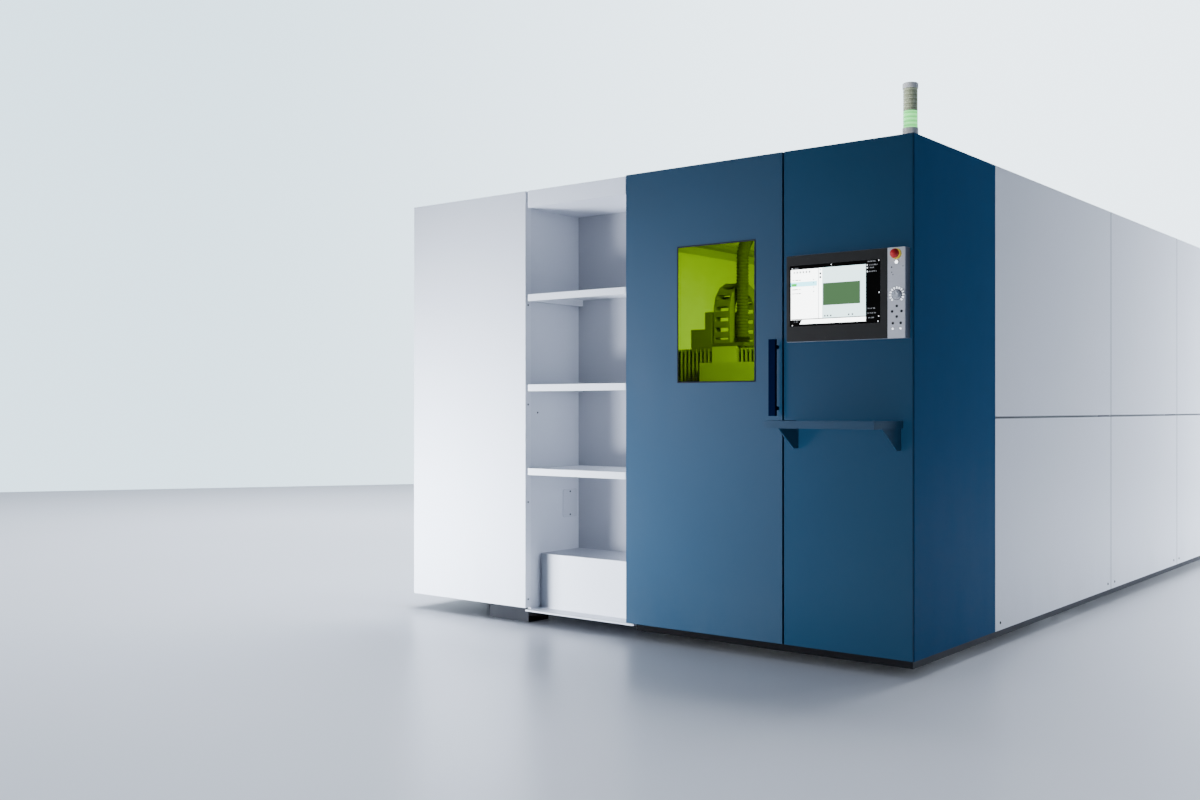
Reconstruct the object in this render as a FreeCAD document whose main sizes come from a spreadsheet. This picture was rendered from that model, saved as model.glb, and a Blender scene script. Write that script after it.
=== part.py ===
"""Fiber laser cutting machine with a closed cabin: each piece is a solid of its own.

Frame: the origin is on the floor under the middle of the machine, +X to the right seen from
the operator's side, +Y to the rear, +Z up. All sizes are in millimetres.
"""
import FreeCAD, Part
import math
import os

import Sketcher

doc = FreeCAD.newDocument("laser_cutting_machine")
Vector = FreeCAD.Vector


# ---------------------------------------------------------------- sizes

class Size:
    """A size with its expression on the sheet and its present value."""

    def __init__(self, text, value):
        self.text = text
        self.value = value

    def joined(self, sign, other, value):
        return Size(f"({self.text} {sign} {other.text})", value)

    def __add__(self, other):
        other = as_size(other)
        return self.joined("+", other, self.value + other.value)

    def __radd__(self, other):
        return as_size(other) + self

    def __sub__(self, other):
        other = as_size(other)
        return self.joined("-", other, self.value - other.value)

    def __rsub__(self, other):
        return as_size(other) - self

    def __mul__(self, other):
        other = as_size(other)
        return self.joined("*", other, self.value * other.value)

    def __rmul__(self, other):
        return as_size(other) * self

    def __truediv__(self, other):
        other = as_size(other)
        return self.joined("/", other, self.value / other.value)

    def __neg__(self):
        return Size(f"(0 - {self.text})", -self.value)


def as_size(value):
    """A Size stays as it is, and a plain number becomes one."""
    return value if isinstance(value, Size) else Size(f"({value})", value)


class Sizes:
    """The driving dimensions: one cell with an alias for each."""

    def __init__(self, table):
        self.sheet = doc.addObject("Spreadsheet::Sheet", "Dims")
        for row, (name, value) in enumerate(table.items(), 1):
            self.sheet.set(f"A{row}", str(value))
            self.sheet.setAlias(f"A{row}", name)
            setattr(self, name, Size(f"Dims.{name}", value))


DIMENSIONS = {
    # the body of the machine, from left to right, front to rear and bottom to top
    "cabinet_width": 857, "alcove_width": 687, "door_width": 891, "corner_width": 618,
    "corner_depth": 891, "side_front_length": 1790, "side_middle_length": 1460,
    "side_rear_length": 1459, "panel_height": 2200, "ground_gap": 80, "seam_height": 1010,
    "white_setback": 22,
    # folded sheet-metal covers
    "skin": 2, "panel_depth": 25, "panel_gap": 4, "fold_radius": 8, "roof_drop": 6,
    "roof_panels": 3,
    # door leaf, window and handle
    "leaf_depth": 40, "door_gap": 10, "frame_gap": 6, "window_left": 310, "window_bottom": 1176,
    "window_width": 430, "window_height": 644, "pane_margin": 26, "pane_thickness": 8,
    "seal_thickness": 3, "collar_wall": 3, "handle_offset": 34, "handle_width": 34,
    "handle_thickness": 16, "handle_length": 342, "handle_bottom": 1020, "handle_post_radius": 9,
    "handle_post_inset": 34, "handle_edge": 7,
    # pivot hinges of the door
    "pivot_inset": 15, "pin_radius": 5, "pin_clearance": 0.05, "pin_length": 72, "arm_width": 14,
    "arm_thickness": 10, "knuckle_size": 24, "knuckle_height": 30, "knuckle_gap": 0.3,
    "hinge_margin": 180,
    # alcove with its shelves
    "alcove_depth": 440, "alcove_wall": 20, "alcove_bevel_across": 30, "alcove_bevel_along": 42,
    "shelf_lip": 35, "shelf_skin": 3, "shelf_corner_radius": 30, "upper_shelf_top": 1654,
    "middle_shelf_top": 1179, "lower_shelf_top": 738, "header_height": 87, "step_top": 280,
    "step_setback": 110, "step_skin": 3, "step_corner_radius": 25, "sill_drop": 9,
    "sill_thickness": 7, "sill_tuck": 31, "cover_length": 118, "cover_height": 154,
    "cover_from_front": 325, "cover_bottom": 457, "cover_thickness": 3,
    "cover_corner_radius": 14, "screw_radius": 5, "screw_head": 2.5, "cabinet_depth": 24,
    "cabinet_return": 19, "edge_screw_inset": 21, "edge_screw_low": 44, "edge_screw_second": 558,
    "edge_screw_third": 1074, "edge_screw_top": 1600, "wall_screw_inset": 96,
    "wall_screw_height": 1031,
    # control terminal on the front
    "terminal_width": 559, "terminal_height": 377, "terminal_bottom": 1346,
    "terminal_right_gap": 17, "terminal_depth": 44, "front_plate": 6, "plate_width": 87,
    "terminal_corner_radius": 6, "screen_width": 433, "screen_height": 267, "screen_left": 16,
    "screen_bottom": 67, "screen_recess": 1.5, "control_inset": 36.5, "stop_height": 349.5,
    "stop_radius": 20, "stop_stem_radius": 8, "collar_radius": 22, "collar_thickness": 12,
    "stop_travel": 4, "stop_cap_thickness": 17, "control_clearance": 0.08, "power_height": 315.5,
    "power_radius": 8, "power_proud": 3, "dial_height": 180, "dial_radius": 16,
    "dial_length": 18, "dial_shaft_radius": 4, "dial_gap": 0.3, "key_radius": 6, "key_length": 8,
    "key_proud": 1.2, "jog_height": 111, "jog_spread": 21, "jog_rise": 22, "key_row_height": 62,
    "key_row_spread": 17.5,
    # tray under the terminal
    "tray_width": 512, "tray_depth": 268, "tray_lip": 33, "tray_top": 1002, "tray_skin": 3,
    "tray_right_gap": 48, "gusset_depth": 174, "gusset_drop": 92, "gusset_toe": 37,
    "gusset_thickness": 6, "gusset_inset": 9,
    # signal beacon on the roof
    "beacon_radius": 33, "beacon_right_gap": 67, "beacon_from_front": 111,
    "beacon_base_height": 45, "beacon_lens_radius": 31, "beacon_lower_lens": 74,
    "beacon_upper_lens": 95, "beacon_cap_height": 23,
    # machine bed, feet and rails
    "bed_beam_width": 160, "bed_bottom": 180, "bed_top": 1060, "bed_wall": 12, "bed_left": 1230,
    "bed_right": 1440, "bed_rear_gap": 60, "cross_beams": 4, "cross_beam_size": 160,
    "feet_per_side": 5, "foot_plate_side": 120, "foot_plate": 22, "foot_stem_radius": 16,
    "foot_nut_radius": 26, "foot_nut_height": 20, "foot_inset": 300, "rail_width": 40,
    "rail_height": 35, "rail_length": 3600, "plinth_width": 285, "plinth_depth": 160,
    "track_width": 40, "track_height": 80, "track_top": 780, "track_inset": 10,
    # frame of the enclosure
    "tube_size": 50, "tube_wall": 3, "head_tube_height": 25, "anchor_radius": 9,
    "foot_pad_width": 80, "foot_pad_length": 160, "foot_pad_thickness": 12,
    "middle_post_from_front": 2680, "rear_post_from_front": 4140, "legs_per_side": 5,
    "front_leg_setback": 400, "rear_leg_setback": 480, "stub_length": 150, "skirt_height": 40,
    "skirt_thickness": 5, "skirt_start": 31,
    # lining of the working chamber
    "liner_skin": 4, "liner_front": 520, "liner_length": 4000, "liner_bottom": 160,
    "liner_front_gap": 62.5, "lamp_width": 60, "lamp_height": 36, "lamp_length": 1500,
    "left_lamp_left": 850, "right_lamp_right": 1030, "lamp_from_front": 1500,
    # gantry and its bellows
    "beam_left": 1200, "beam_right": 1410, "beam_from_front": 1090, "beam_depth": 200,
    "beam_bottom": 1180, "beam_height": 260, "beam_wall": 10, "beam_rail_width": 40,
    "truck_width": 80, "truck_length": 300, "slide_gap": 0.3, "cheek_thickness": 10,
    "bellows_front": 1000, "bellows_depth": 60, "bellows_height": 280, "bellows_bottom": 1190,
    "fold_pitch": 27, "bellows_skin": 2,
    # carriage with its covers, chain and hose
    "spine_left": -142, "spine_width": 164, "spine_depth": 89.7, "spine_bottom": 1130,
    "spine_top": 1480, "box_left": -162, "box_width": 367, "box_depth": 95, "box_height": 256,
    "box_skin": 3, "saddle_length": 471, "saddle_width": 212, "saddle_thickness": 20,
    "guard_inner_step": 47, "guard_outer_step": 95, "guard_high": 196, "guard_low": 100,
    "guard_depth": 85, "guard_skin": 3, "motor_radius": 28, "motor_height": 175,
    "motor_from_front": 1120, "motor_x": -38, "chain_left": -131, "chain_width": 107,
    "chain_height": 58, "chain_bend_radius": 130, "chain_leg": 171, "chain_leg_links": 3,
    "chain_bend_links": 7, "link_wall": 10, "link_gap": 0.8, "bar_width": 32, "chain_foot": 18,
    "bar_skin": 6, "hose_x": 22.5, "hose_from_front": 1060, "hose_leg": 455,
    "hose_bend_radius": 180, "hose_radius": 36, "hose_collar_radius": 42,
    "hose_collar_height": 30,
    # cutting head
    "head_x": -60, "slide_block_width": 70, "slide_block_depth": 64, "slide_block_height": 190,
    "head_tip": 1025, "head_barrel_radius": 31, "nozzle_height": 45, "nozzle_radius": 4,
    "nozzle_neck_radius": 12, "slide_block_bottom": 1110,
    # pallet with its toothed slats
    "pallet_left": 720, "pallet_right": 950, "pallet_from_front": 890, "pallet_length": 3140,
    "member_width": 40, "member_height": 80, "ledge_width": 30, "ledge_height": 8,
    "runner_height": 15, "slat_thickness": 5, "slat_height": 97, "slat_pitch": 125,
    "slat_margin": 70, "slat_play": 2, "tooth_count": 12, "tooth_depth": 26,
    # rear wall with the pallet opening
    "port_left": 760, "port_right": 990, "port_bottom": 690, "port_top": 1020,
    "spigot_radius": 150, "spigot_wall": 2.5, "spigot_height": 60, "spigot_from_rear": 480,
}
d = Sizes(DIMENSIONS)
doc.recompute()

# places that several pieces share
BODY_WIDTH = d.cabinet_width + d.alcove_width + d.door_width + d.corner_width
BODY_LENGTH = d.corner_depth + d.side_front_length + d.side_middle_length + d.side_rear_length
LEFT = -BODY_WIDTH / 2
ALCOVE = LEFT + d.cabinet_width
DOOR = ALCOVE + d.alcove_width
CORNER = DOOR + d.door_width
RIGHT = CORNER + d.corner_width
FRONT = (d.tray_depth - BODY_LENGTH) / 2
REAR = FRONT + BODY_LENGTH
WHITE_FRONT = FRONT + d.white_setback
BOTTOM = d.ground_gap
TOP = d.ground_gap + d.panel_height
SIDE_START = FRONT + d.corner_depth
ROOF_BOTTOM = TOP - d.roof_drop - d.panel_depth
FRAME_TOP = ROOF_BOTTOM - d.head_tube_height

# which way the outside of a cover looks, as the directions of its width, height and depth
FACING = {
    "front": FreeCAD.Rotation(Vector(1, 0, 0), Vector(0, 0, 1), Vector(0, -1, 0), "XYZ"),
    "right": FreeCAD.Rotation(Vector(0, 1, 0), Vector(0, 0, 1), Vector(1, 0, 0), "XYZ"),
    "left": FreeCAD.Rotation(Vector(0, -1, 0), Vector(0, 0, 1), Vector(-1, 0, 0), "XYZ"),
    "rear": FreeCAD.Rotation(Vector(-1, 0, 0), Vector(0, 0, 1), Vector(0, 1, 0), "XYZ"),
    "top": FreeCAD.Rotation(),
}
ALONG = {
    "x": FreeCAD.Rotation(Vector(0, 1, 0), 90),
    "y": FreeCAD.Rotation(Vector(1, 0, 0), -90),
    "z": FreeCAD.Rotation(),
}
nodes = {}


# ---------------------------------------------------------------- ways of making

def bind(thing, **sizes):
    """Binds properties to sizes."""
    for name, size in sizes.items():
        thing.setExpression(name, as_size(size).text)
    return thing


def place(thing, at, turn=None):
    """Turns a thing, then binds where it stands."""
    thing.Placement = FreeCAD.Placement(Vector(), turn or FreeCAD.Rotation())
    for axis, size in zip("xyz", at):
        thing.setExpression(f"Placement.Base.{axis}", as_size(size).text)
    return thing


def block(name, at, size):
    """A box from its low corner and its three sizes."""
    box = doc.addObject("Part::Box", name)
    bind(box, Length=size[0], Width=size[1], Height=size[2])
    return place(box, at)


def rod(name, at, radius, length, along="z"):
    """A round bar from the middle of its low end."""
    bar = doc.addObject("Part::Cylinder", name)
    bind(bar, Radius=radius, Height=length)
    return place(bar, at, ALONG[along])


def taper(name, at, low_radius, high_radius, length, facing="top"):
    """A cone's stump from the middle of its low end, along the way that it faces."""
    stump = doc.addObject("Part::Cone", name)
    bind(stump, Radius1=low_radius, Radius2=high_radius, Height=length)
    return place(stump, at, FACING[facing])


def prism(name, at, sides, radius, length, along="z"):
    """A bar of regular section from the middle of its low end to its corners' radius."""
    bar = doc.addObject("Part::Prism", name)
    bar.Polygon = sides
    bind(bar, Circumradius=radius, Height=length)
    return place(bar, at, ALONG[along])


def less(name, base, *tools):
    """The base with the tools cut away."""
    tool = tools[0] if len(tools) == 1 else fused(name + "_tools", *tools)
    cut = doc.addObject("Part::Cut", name)
    cut.Base = base
    cut.Tool = tool
    return cut


def fused(name, *parts):
    """Several solids welded into one."""
    whole = doc.addObject("Part::MultiFuse", name)
    whole.Shapes = list(parts)
    whole.Refine = True
    return whole


def group(name, parts):
    """Several solids that stay separate and share one node."""
    whole = doc.addObject("Part::Compound", name)
    whole.Links = list(parts)
    return whole


def tube(name, at, size, along, wall):
    """A rectangular hollow section that is open at both ends."""
    outside = block(name + "_outside", at, size)
    inner_at = [a if axis == along else a + wall for axis, a in zip("xyz", at)]
    inner_size = [s if axis == along else s - 2 * wall for axis, s in zip("xyz", size)]
    return less(name, outside, block(name + "_inside", inner_at, inner_size))


def body(name, at, facing="top"):
    """An empty body, turned and placed."""
    return place(doc.addObject("PartDesign::Body", name), at, FACING[facing])


def draw(owner, plane, *loops, lift=0):
    """A sketch on a plane of the body. A loop is a list of corners, or a centre and a radius."""
    sketch = owner.newObject("Sketcher::SketchObject", owner.Name + "_sketch")
    base = next(f for f in owner.Origin.OriginFeatures if f.Role == plane)
    sketch.AttachmentSupport = [(base, "")]
    sketch.MapMode = "FlatFace"
    sketch.setExpression("AttachmentOffset.Base.z", as_size(lift).text)
    for loop in loops:
        if isinstance(loop, tuple):
            add_circle(sketch, *loop)
        else:
            add_outline(sketch, loop)
    return sketch


def hold_point(sketch, edge, point, at):
    """Fixes a point of a sketch at a place that is bound to sizes."""
    for kind, size in zip(("DistanceX", "DistanceY"), at):
        size = as_size(size)
        index = sketch.addConstraint(
            Sketcher.Constraint(kind, -1, 1, edge, point, size.value)
        )
        sketch.setExpression(f"Constraints[{index}]", size.text)


def add_outline(sketch, corners):
    """Straight edges from corner to corner, each corner held."""
    points = [Vector(as_size(x).value, as_size(y).value) for x, y in corners]
    first = sketch.GeometryCount
    count = len(points)
    for index in range(count):
        sketch.addGeometry(Part.LineSegment(points[index], points[(index + 1) % count]))
    for index in range(count):
        after = first + (index + 1) % count
        sketch.addConstraint(Sketcher.Constraint("Coincident", first + index, 2, after, 1))
    for index, corner in enumerate(corners):
        hold_point(sketch, first + index, 1, corner)


def add_circle(sketch, centre, radius):
    """A circle whose centre and radius are held."""
    at = Vector(as_size(centre[0]).value, as_size(centre[1]).value)
    radius = as_size(radius)
    edge = sketch.addGeometry(Part.Circle(at, Vector(0, 0, 1), radius.value))
    hold_point(sketch, edge, 3, centre)
    index = sketch.addConstraint(Sketcher.Constraint("Radius", edge, radius.value))
    sketch.setExpression(f"Constraints[{index}]", radius.text)


def pad(owner, sketch, length, backwards=False):
    """Adds material along the sketch's normal."""
    feature = owner.newObject("PartDesign::Pad", owner.Name + "_pad")
    feature.Profile = sketch
    feature.Reversed = backwards
    return bind(feature, Length=length)


def pocket(owner, sketch, depth, upwards=False):
    """Cuts material away, and makes sure that it cut something."""
    doc.recompute()
    before = owner.Tip.Shape.Volume
    feature = owner.newObject("PartDesign::Pocket", owner.Name + "_pocket")
    feature.Profile = sketch
    feature.Reversed = upwards
    bind(feature, Length=depth)
    doc.recompute()
    if not feature.Shape.Volume < before:
        raise ValueError(f"a pocket of {owner.Name} cuts nothing")
    return feature


def turn(owner, sketch, angle=360):
    """Revolves a section about the body's own Z axis."""
    feature = owner.newObject("PartDesign::Revolution", owner.Name + "_turned")
    feature.Profile = sketch
    axis = next(f for f in owner.Origin.OriginFeatures if f.Role == "Z_Axis")
    feature.ReferenceAxis = (axis, [""])
    feature.Angle = angle
    return feature


def round_edges(owner, radius, chosen):
    """Rounds the edges that the test picks."""
    doc.recompute()
    base = owner.Tip
    names = [f"Edge{n}" for n, edge in enumerate(base.Shape.Edges, 1) if chosen(edge)]
    if not names:
        raise ValueError(f"no edge of {owner.Name} to round")
    feature = owner.newObject("PartDesign::Fillet", owner.Name + "_round")
    feature.Base = (base, names)
    return bind(feature, Radius=radius)


def upright_at(*places):
    """A test for edges along the body's Z that stand at one of the given places."""
    spots = [(as_size(x).value, as_size(y).value) for x, y in places]

    def chosen(edge):
        a, b = edge.Vertexes[0].Point, edge.Vertexes[-1].Point
        along_z = math.hypot(a.x - b.x, a.y - b.y) < 1e-6 and abs(a.z - b.z) > 1e-6
        return along_z and any(math.hypot(a.x - x, a.y - y) < 1e-3 for x, y in spots)

    return chosen


def rectangle(width, height, x=0, y=0):
    """The corners of a rectangle from its low corner."""
    return [(x, y), (x + width, y), (x + width, y + height), (x, y + height)]


def polygon(centre, radius, sides):
    """The corners of a regular polygon, the first on the sideways axis."""
    angles = [2 * math.pi * n / sides for n in range(sides)]
    x, y = centre
    return [(x + radius * math.cos(a), y + radius * math.sin(a)) for a in angles]


def cassette(name, at, width, height, facing, depth=None, skin=None):
    """A cover folded from one sheet: a face with a rim round its back."""
    depth = depth or d.panel_depth
    skin = skin or d.skin
    cover = body(name, at, facing)
    pad(cover, draw(cover, "XY_Plane", rectangle(width, height)), depth)
    hollow = rectangle(width - 2 * skin, height - 2 * skin, skin, skin)
    pocket(cover, draw(cover, "XY_Plane", hollow), depth - skin, upwards=True)
    return cover


def computed(name, shape):
    """A form that no primitive or body gives, worked out from the sizes."""
    feature = doc.addObject("Part::Feature", name)
    feature.Shape = shape
    return feature


def copies(name, master, shifts):
    """Copies of one solid that share a node."""
    doc.recompute()
    shapes = [master.Shape.translated(Vector(*shift)) for shift in shifts]
    return computed(name, Part.makeCompound(shapes))


def node(name, thing):
    """Names the solid that becomes a node of the assembly."""
    thing.Label = name
    nodes[name] = thing
    return thing


# ---------------------------------------------------------------- bed, feet and rails

BED_START = SIDE_START + d.panel_gap
BED_LENGTH = BODY_LENGTH - d.corner_depth - d.bed_rear_gap - d.panel_gap
BED_INNER_LEFT = -d.bed_left + d.bed_beam_width
BED_INNER_RIGHT = d.bed_right - d.bed_beam_width
TRACK_LEFT = -d.pallet_left + d.track_inset
TRACK_RIGHT = d.pallet_right - d.track_inset - d.track_width


def machine_bed():
    """Two tall box beams, the cross beams between them and the tracks for the pallet."""
    beam = (d.bed_beam_width, BED_LENGTH, d.bed_top - d.bed_bottom)
    parts = [
        tube("bed_left_beam", (-d.bed_left, BED_START, d.bed_bottom), beam, "y", d.bed_wall),
        tube("bed_right_beam", (BED_INNER_RIGHT, BED_START, d.bed_bottom), beam, "y", d.bed_wall),
    ]
    spacing = (BED_LENGTH - d.cross_beam_size) / (d.cross_beams - 1)
    span = BED_INNER_RIGHT - BED_INNER_LEFT
    cross = (span, d.cross_beam_size, d.cross_beam_size)
    deck = d.bed_bottom + d.cross_beam_size
    post = (d.track_width, d.track_width, d.track_top - d.track_height - deck)
    for index in range(int(d.cross_beams.value)):
        y = BED_START + index * spacing
        at = (BED_INNER_LEFT, y, d.bed_bottom)
        parts.append(tube(f"bed_cross_beam_{index}", at, cross, "x", d.bed_wall))
        for side, x in (("left", TRACK_LEFT), ("right", TRACK_RIGHT)):
            foot = (x, y + (d.cross_beam_size - d.track_width) / 2, deck)
            parts.append(block(f"track_post_{side}_{index}", foot, post))
    track = (d.track_width, BED_LENGTH, d.track_height)
    for side, x in (("left", TRACK_LEFT), ("right", TRACK_RIGHT)):
        at = (x, BED_START, d.track_top - d.track_height)
        parts.append(tube(f"track_{side}", at, track, "y", d.tube_wall))
    plinth = (ALCOVE - d.plinth_width, WHITE_FRONT + d.panel_depth, 0)
    size = (d.plinth_width, d.plinth_depth, BOTTOM - d.sill_drop)
    parts.append(tube("cabinet_plinth", plinth, size, "x", d.tube_wall))
    node("machine_bed", group("machine_bed", parts))


def levelling_feet():
    """Square foot plates with a stem and a hexagonal lock nut, in two rows under the bed."""
    side = d.foot_plate_side
    plate = block("foot_plate", (side / -2, side / -2, 0), (side, side, d.foot_plate))
    stem_at = (0, 0, d.foot_plate)
    stem = prism("foot_stem", stem_at, 12, d.foot_stem_radius, d.bed_bottom - d.foot_plate)
    nut_at = (0, 0, d.bed_bottom - d.foot_nut_height)
    nut = prism("foot_nut", nut_at, 6, d.foot_nut_radius, d.foot_nut_height)
    foot = fused("levelling_foot", plate, stem, nut)
    count = int(d.feet_per_side.value)
    pitch = (BED_LENGTH.value - 2 * d.foot_inset.value) / (count - 1)
    half_beam = d.bed_beam_width.value / 2
    rows = (-d.bed_left.value + half_beam, d.bed_right.value - half_beam)
    start = BED_START.value + d.foot_inset.value
    spots = [(x, start + index * pitch, 0) for x in rows for index in range(count)]
    node("levelling_feet", copies("levelling_feet", foot, spots))


def gantry_rails():
    """A profiled rail on each side of the bed, narrower at its waist."""
    waist = d.rail_width / 5
    low = d.rail_height / 3
    high = d.rail_height * 2 / 3
    outline = [
        (0, 0), (d.rail_width, 0), (d.rail_width, low), (d.rail_width - waist, low),
        (d.rail_width - waist, high), (d.rail_width, high), (d.rail_width, d.rail_height),
        (0, d.rail_height), (0, high), (waist, high), (waist, low), (0, low),
    ]
    half_beam = (d.bed_beam_width - d.rail_width) / 2
    rails = []
    for side, x in (("left", -d.bed_left + half_beam), ("right", BED_INNER_RIGHT + half_beam)):
        rail = body(f"gantry_rail_{side}", (x, BED_START, d.bed_top))
        pad(rail, draw(rail, "XZ_Plane", outline), d.rail_length, backwards=True)
        rails.append(rail)
    node("gantry_rails", group("gantry_rails", rails))


# ---------------------------------------------------------------- frame of the enclosure

def frame_legs(left, right, first, last, rail_z):
    """Stub tubes from the side rails inwards, each on a leg that stands on a foot plate."""
    size = d.tube_size
    count = int(d.legs_per_side.value)
    near = first + d.front_leg_setback
    pitch = (last - d.rear_leg_setback - near) / (count - 1)
    foot_size = (d.foot_pad_width, d.foot_pad_length, d.foot_pad_thickness)
    parts = []
    for index in range(count):
        y = near + index * pitch
        spare = (d.foot_pad_length - size) * index / (count - 1)
        for side, x, leg_x in (
            ("left", left + size, left + d.stub_length),
            ("right", right - d.stub_length, right - d.stub_length),
        ):
            name = f"leg_{side}_{index}"
            stub = (d.stub_length, size, size)
            parts.append(tube(name + "_stub", (x, y, rail_z), stub, "x", d.tube_wall))
            at = (leg_x, y, d.foot_pad_thickness)
            run = (size, size, rail_z - d.foot_pad_thickness)
            parts.append(tube(name, at, run, "z", d.tube_wall))
            aside = (size - d.foot_pad_width) / 2
            plate = block(name + "_plate", (leg_x + aside, y - spare, 0), foot_size)
            if index in (0, count - 1):
                offset = (size + d.foot_pad_length) / 2
                hole_y = y + offset if index == 0 else y + size - offset
                hole = rod(name + "_hole", (leg_x + size / 2, hole_y, 0), d.anchor_radius,
                           d.foot_pad_thickness)
                plate = less(name + "_foot", plate, hole)
            parts.append(plate)
    return parts


def base_skirts(first, last):
    """Flat bars on edge below the front and the right side, set back from the covers."""
    z = BOTTOM - d.skirt_height
    side = RIGHT - d.panel_depth - d.skirt_thickness
    front_start = DOOR + d.skirt_start
    across = (side - front_start, d.skirt_thickness, d.skirt_height)
    along = (d.skirt_thickness, last + d.tube_size - first, d.skirt_height)
    return [
        block("front_skirt", (front_start, first, z), across),
        block("right_skirt", (side, first, z), along),
    ]


def enclosure_frame():
    """Posts, the tubes that join their feet and heads, and the legs set back below them."""
    size = d.tube_size
    inner_left = LEFT + d.panel_depth
    inner_right = RIGHT - d.panel_depth - size
    first = FRONT + d.leaf_depth + d.frame_gap
    last = REAR - d.panel_depth - size
    rows = {
        "front": first,
        "second": SIDE_START,
        "middle": FRONT + d.middle_post_from_front,
        "fourth": FRONT + d.rear_post_from_front,
        "rear": last,
    }
    parts = []
    for row, y in rows.items():
        for side, x in (("left", inner_left), ("right", inner_right)):
            post = (size, size, FRAME_TOP - BOTTOM)
            parts.append(tube(f"post_{side}_{row}", (x, y, BOTTOM), post, "z", d.tube_wall))
        across = (inner_left, y, FRAME_TOP)
        width = inner_right + size - inner_left
        section = (width, size, d.head_tube_height)
        parts.append(tube(f"head_tube_{row}", across, section, "x", d.tube_wall))
    order = list(rows.values())
    for index, (near, far) in enumerate(zip(order, order[1:])):
        for side, x in (("left", inner_left), ("right", inner_right)):
            run = (size, far - near - size, d.head_tube_height)
            at = (x, near + size, FRAME_TOP)
            parts.append(tube(f"side_tube_{side}_{index}", at, run, "y", d.tube_wall))
            rail = (size, far - near - size, size)
            at = (x, near + size, BOTTOM)
            parts.append(tube(f"base_tube_{side}_{index}", at, rail, "y", d.tube_wall))
    threshold = (inner_right - CORNER, size, size)
    parts.append(tube("base_tube_front", (CORNER, first, BOTTOM), threshold, "x", d.tube_wall))
    parts += frame_legs(inner_left, inner_right, first, last, BOTTOM)
    parts += base_skirts(first, last)
    node("enclosure_frame", group("enclosure_frame", parts))


def door_frame():
    """Four tubes round the doorway, behind the leaf."""
    size = d.tube_size
    y = FRONT + d.leaf_depth + d.frame_gap
    head = FRAME_TOP - size
    post = (size, size, head - BOTTOM - size)
    parts = [
        tube("door_post_left", (DOOR, y, BOTTOM + size), post, "z", d.tube_wall),
        tube("door_post_right", (CORNER - size, y, BOTTOM + size), post, "z", d.tube_wall),
    ]
    for name, z in (("door_threshold", BOTTOM), ("door_head", head)):
        parts.append(tube(name, (DOOR, y, z), (d.door_width, size, size), "x", d.tube_wall))
    node("door_frame", group("door_frame", parts))


def chamber_liner():
    """Sheets that close the working chamber: two sides, front left, rear and ceiling."""
    y = FRONT + d.liner_front
    ceiling = FRAME_TOP - d.liner_skin
    height = ceiling - d.liner_bottom
    width = d.bed_left + d.bed_right
    side = (d.liner_skin, d.liner_length, height)
    left = -d.bed_left
    rear = y + d.liner_length
    above = d.bed_top + d.rail_height
    jamb = DOOR - d.liner_front_gap
    alcove_rear = WHITE_FRONT + d.alcove_depth + d.alcove_wall
    parts = [
        block("liner_left", (left - d.liner_skin, y, d.liner_bottom), side),
        block("liner_right", (d.bed_right, y, d.liner_bottom), side),
        block("liner_ceiling", (left, y, ceiling), (width, d.liner_length, d.liner_skin)),
        block("liner_front", (left - d.liner_skin, y - d.liner_skin, d.liner_bottom),
              (jamb + d.bed_left + d.liner_skin, d.liner_skin, height)),
        block("liner_jamb", (jamb - d.liner_skin, alcove_rear, d.liner_bottom),
              (d.liner_skin, y - d.liner_skin - alcove_rear, height)),
        block("liner_rear", (left, rear, above), (width, d.liner_skin, ceiling - above)),
    ]
    node("chamber_liner", group("chamber_liner", parts))


def chamber_lamps():
    """Two lamp strips with bevelled edges under the ceiling of the chamber."""
    bevel = d.lamp_height / 3
    section = [
        (0, 0), (0, bevel - d.lamp_height), (bevel, -d.lamp_height),
        (d.lamp_width - bevel, -d.lamp_height), (d.lamp_width, bevel - d.lamp_height),
        (d.lamp_width, 0),
    ]
    lamps = []
    for side, x in (("left", -d.left_lamp_left), ("right", d.right_lamp_right - d.lamp_width)):
        at = (x, FRONT + d.lamp_from_front, FRAME_TOP - d.liner_skin)
        lamp = body(f"lamp_{side}", at)
        pad(lamp, draw(lamp, "XZ_Plane", section), d.lamp_length, backwards=True)
        lamps.append(lamp)
    node("chamber_lamps", group("chamber_lamps", lamps))


# ---------------------------------------------------------------- outer covers

def roof():
    """Roof covers in a row, the last with the collar for the extraction duct."""
    count = int(d.roof_panels.value)
    start = FRONT + d.leaf_depth + d.frame_gap
    length = (REAR - d.panel_depth - start) / d.roof_panels
    width = BODY_WIDTH - 2 * d.panel_depth
    z = ROOF_BOTTOM
    parts = []
    for index in range(count):
        at = (LEFT + d.panel_depth, start + index * length, z)
        parts.append(cassette(f"roof_panel_{index}", at, width, length - d.panel_gap, "top"))
    y = REAR - d.spigot_from_rear
    under = z + d.panel_depth - d.skin
    collar = rod("spigot_outside", (0, y, under), d.spigot_radius, d.spigot_height + d.skin)
    bore_radius = d.spigot_radius - d.spigot_wall
    bore = rod("spigot_bore", (0, y, z), bore_radius, d.spigot_height + d.panel_depth)
    parts[-1] = less("roof_panel_spigot", fused("roof_with_collar", parts[-1], collar), bore)
    node("roof", group("roof", parts))


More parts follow.
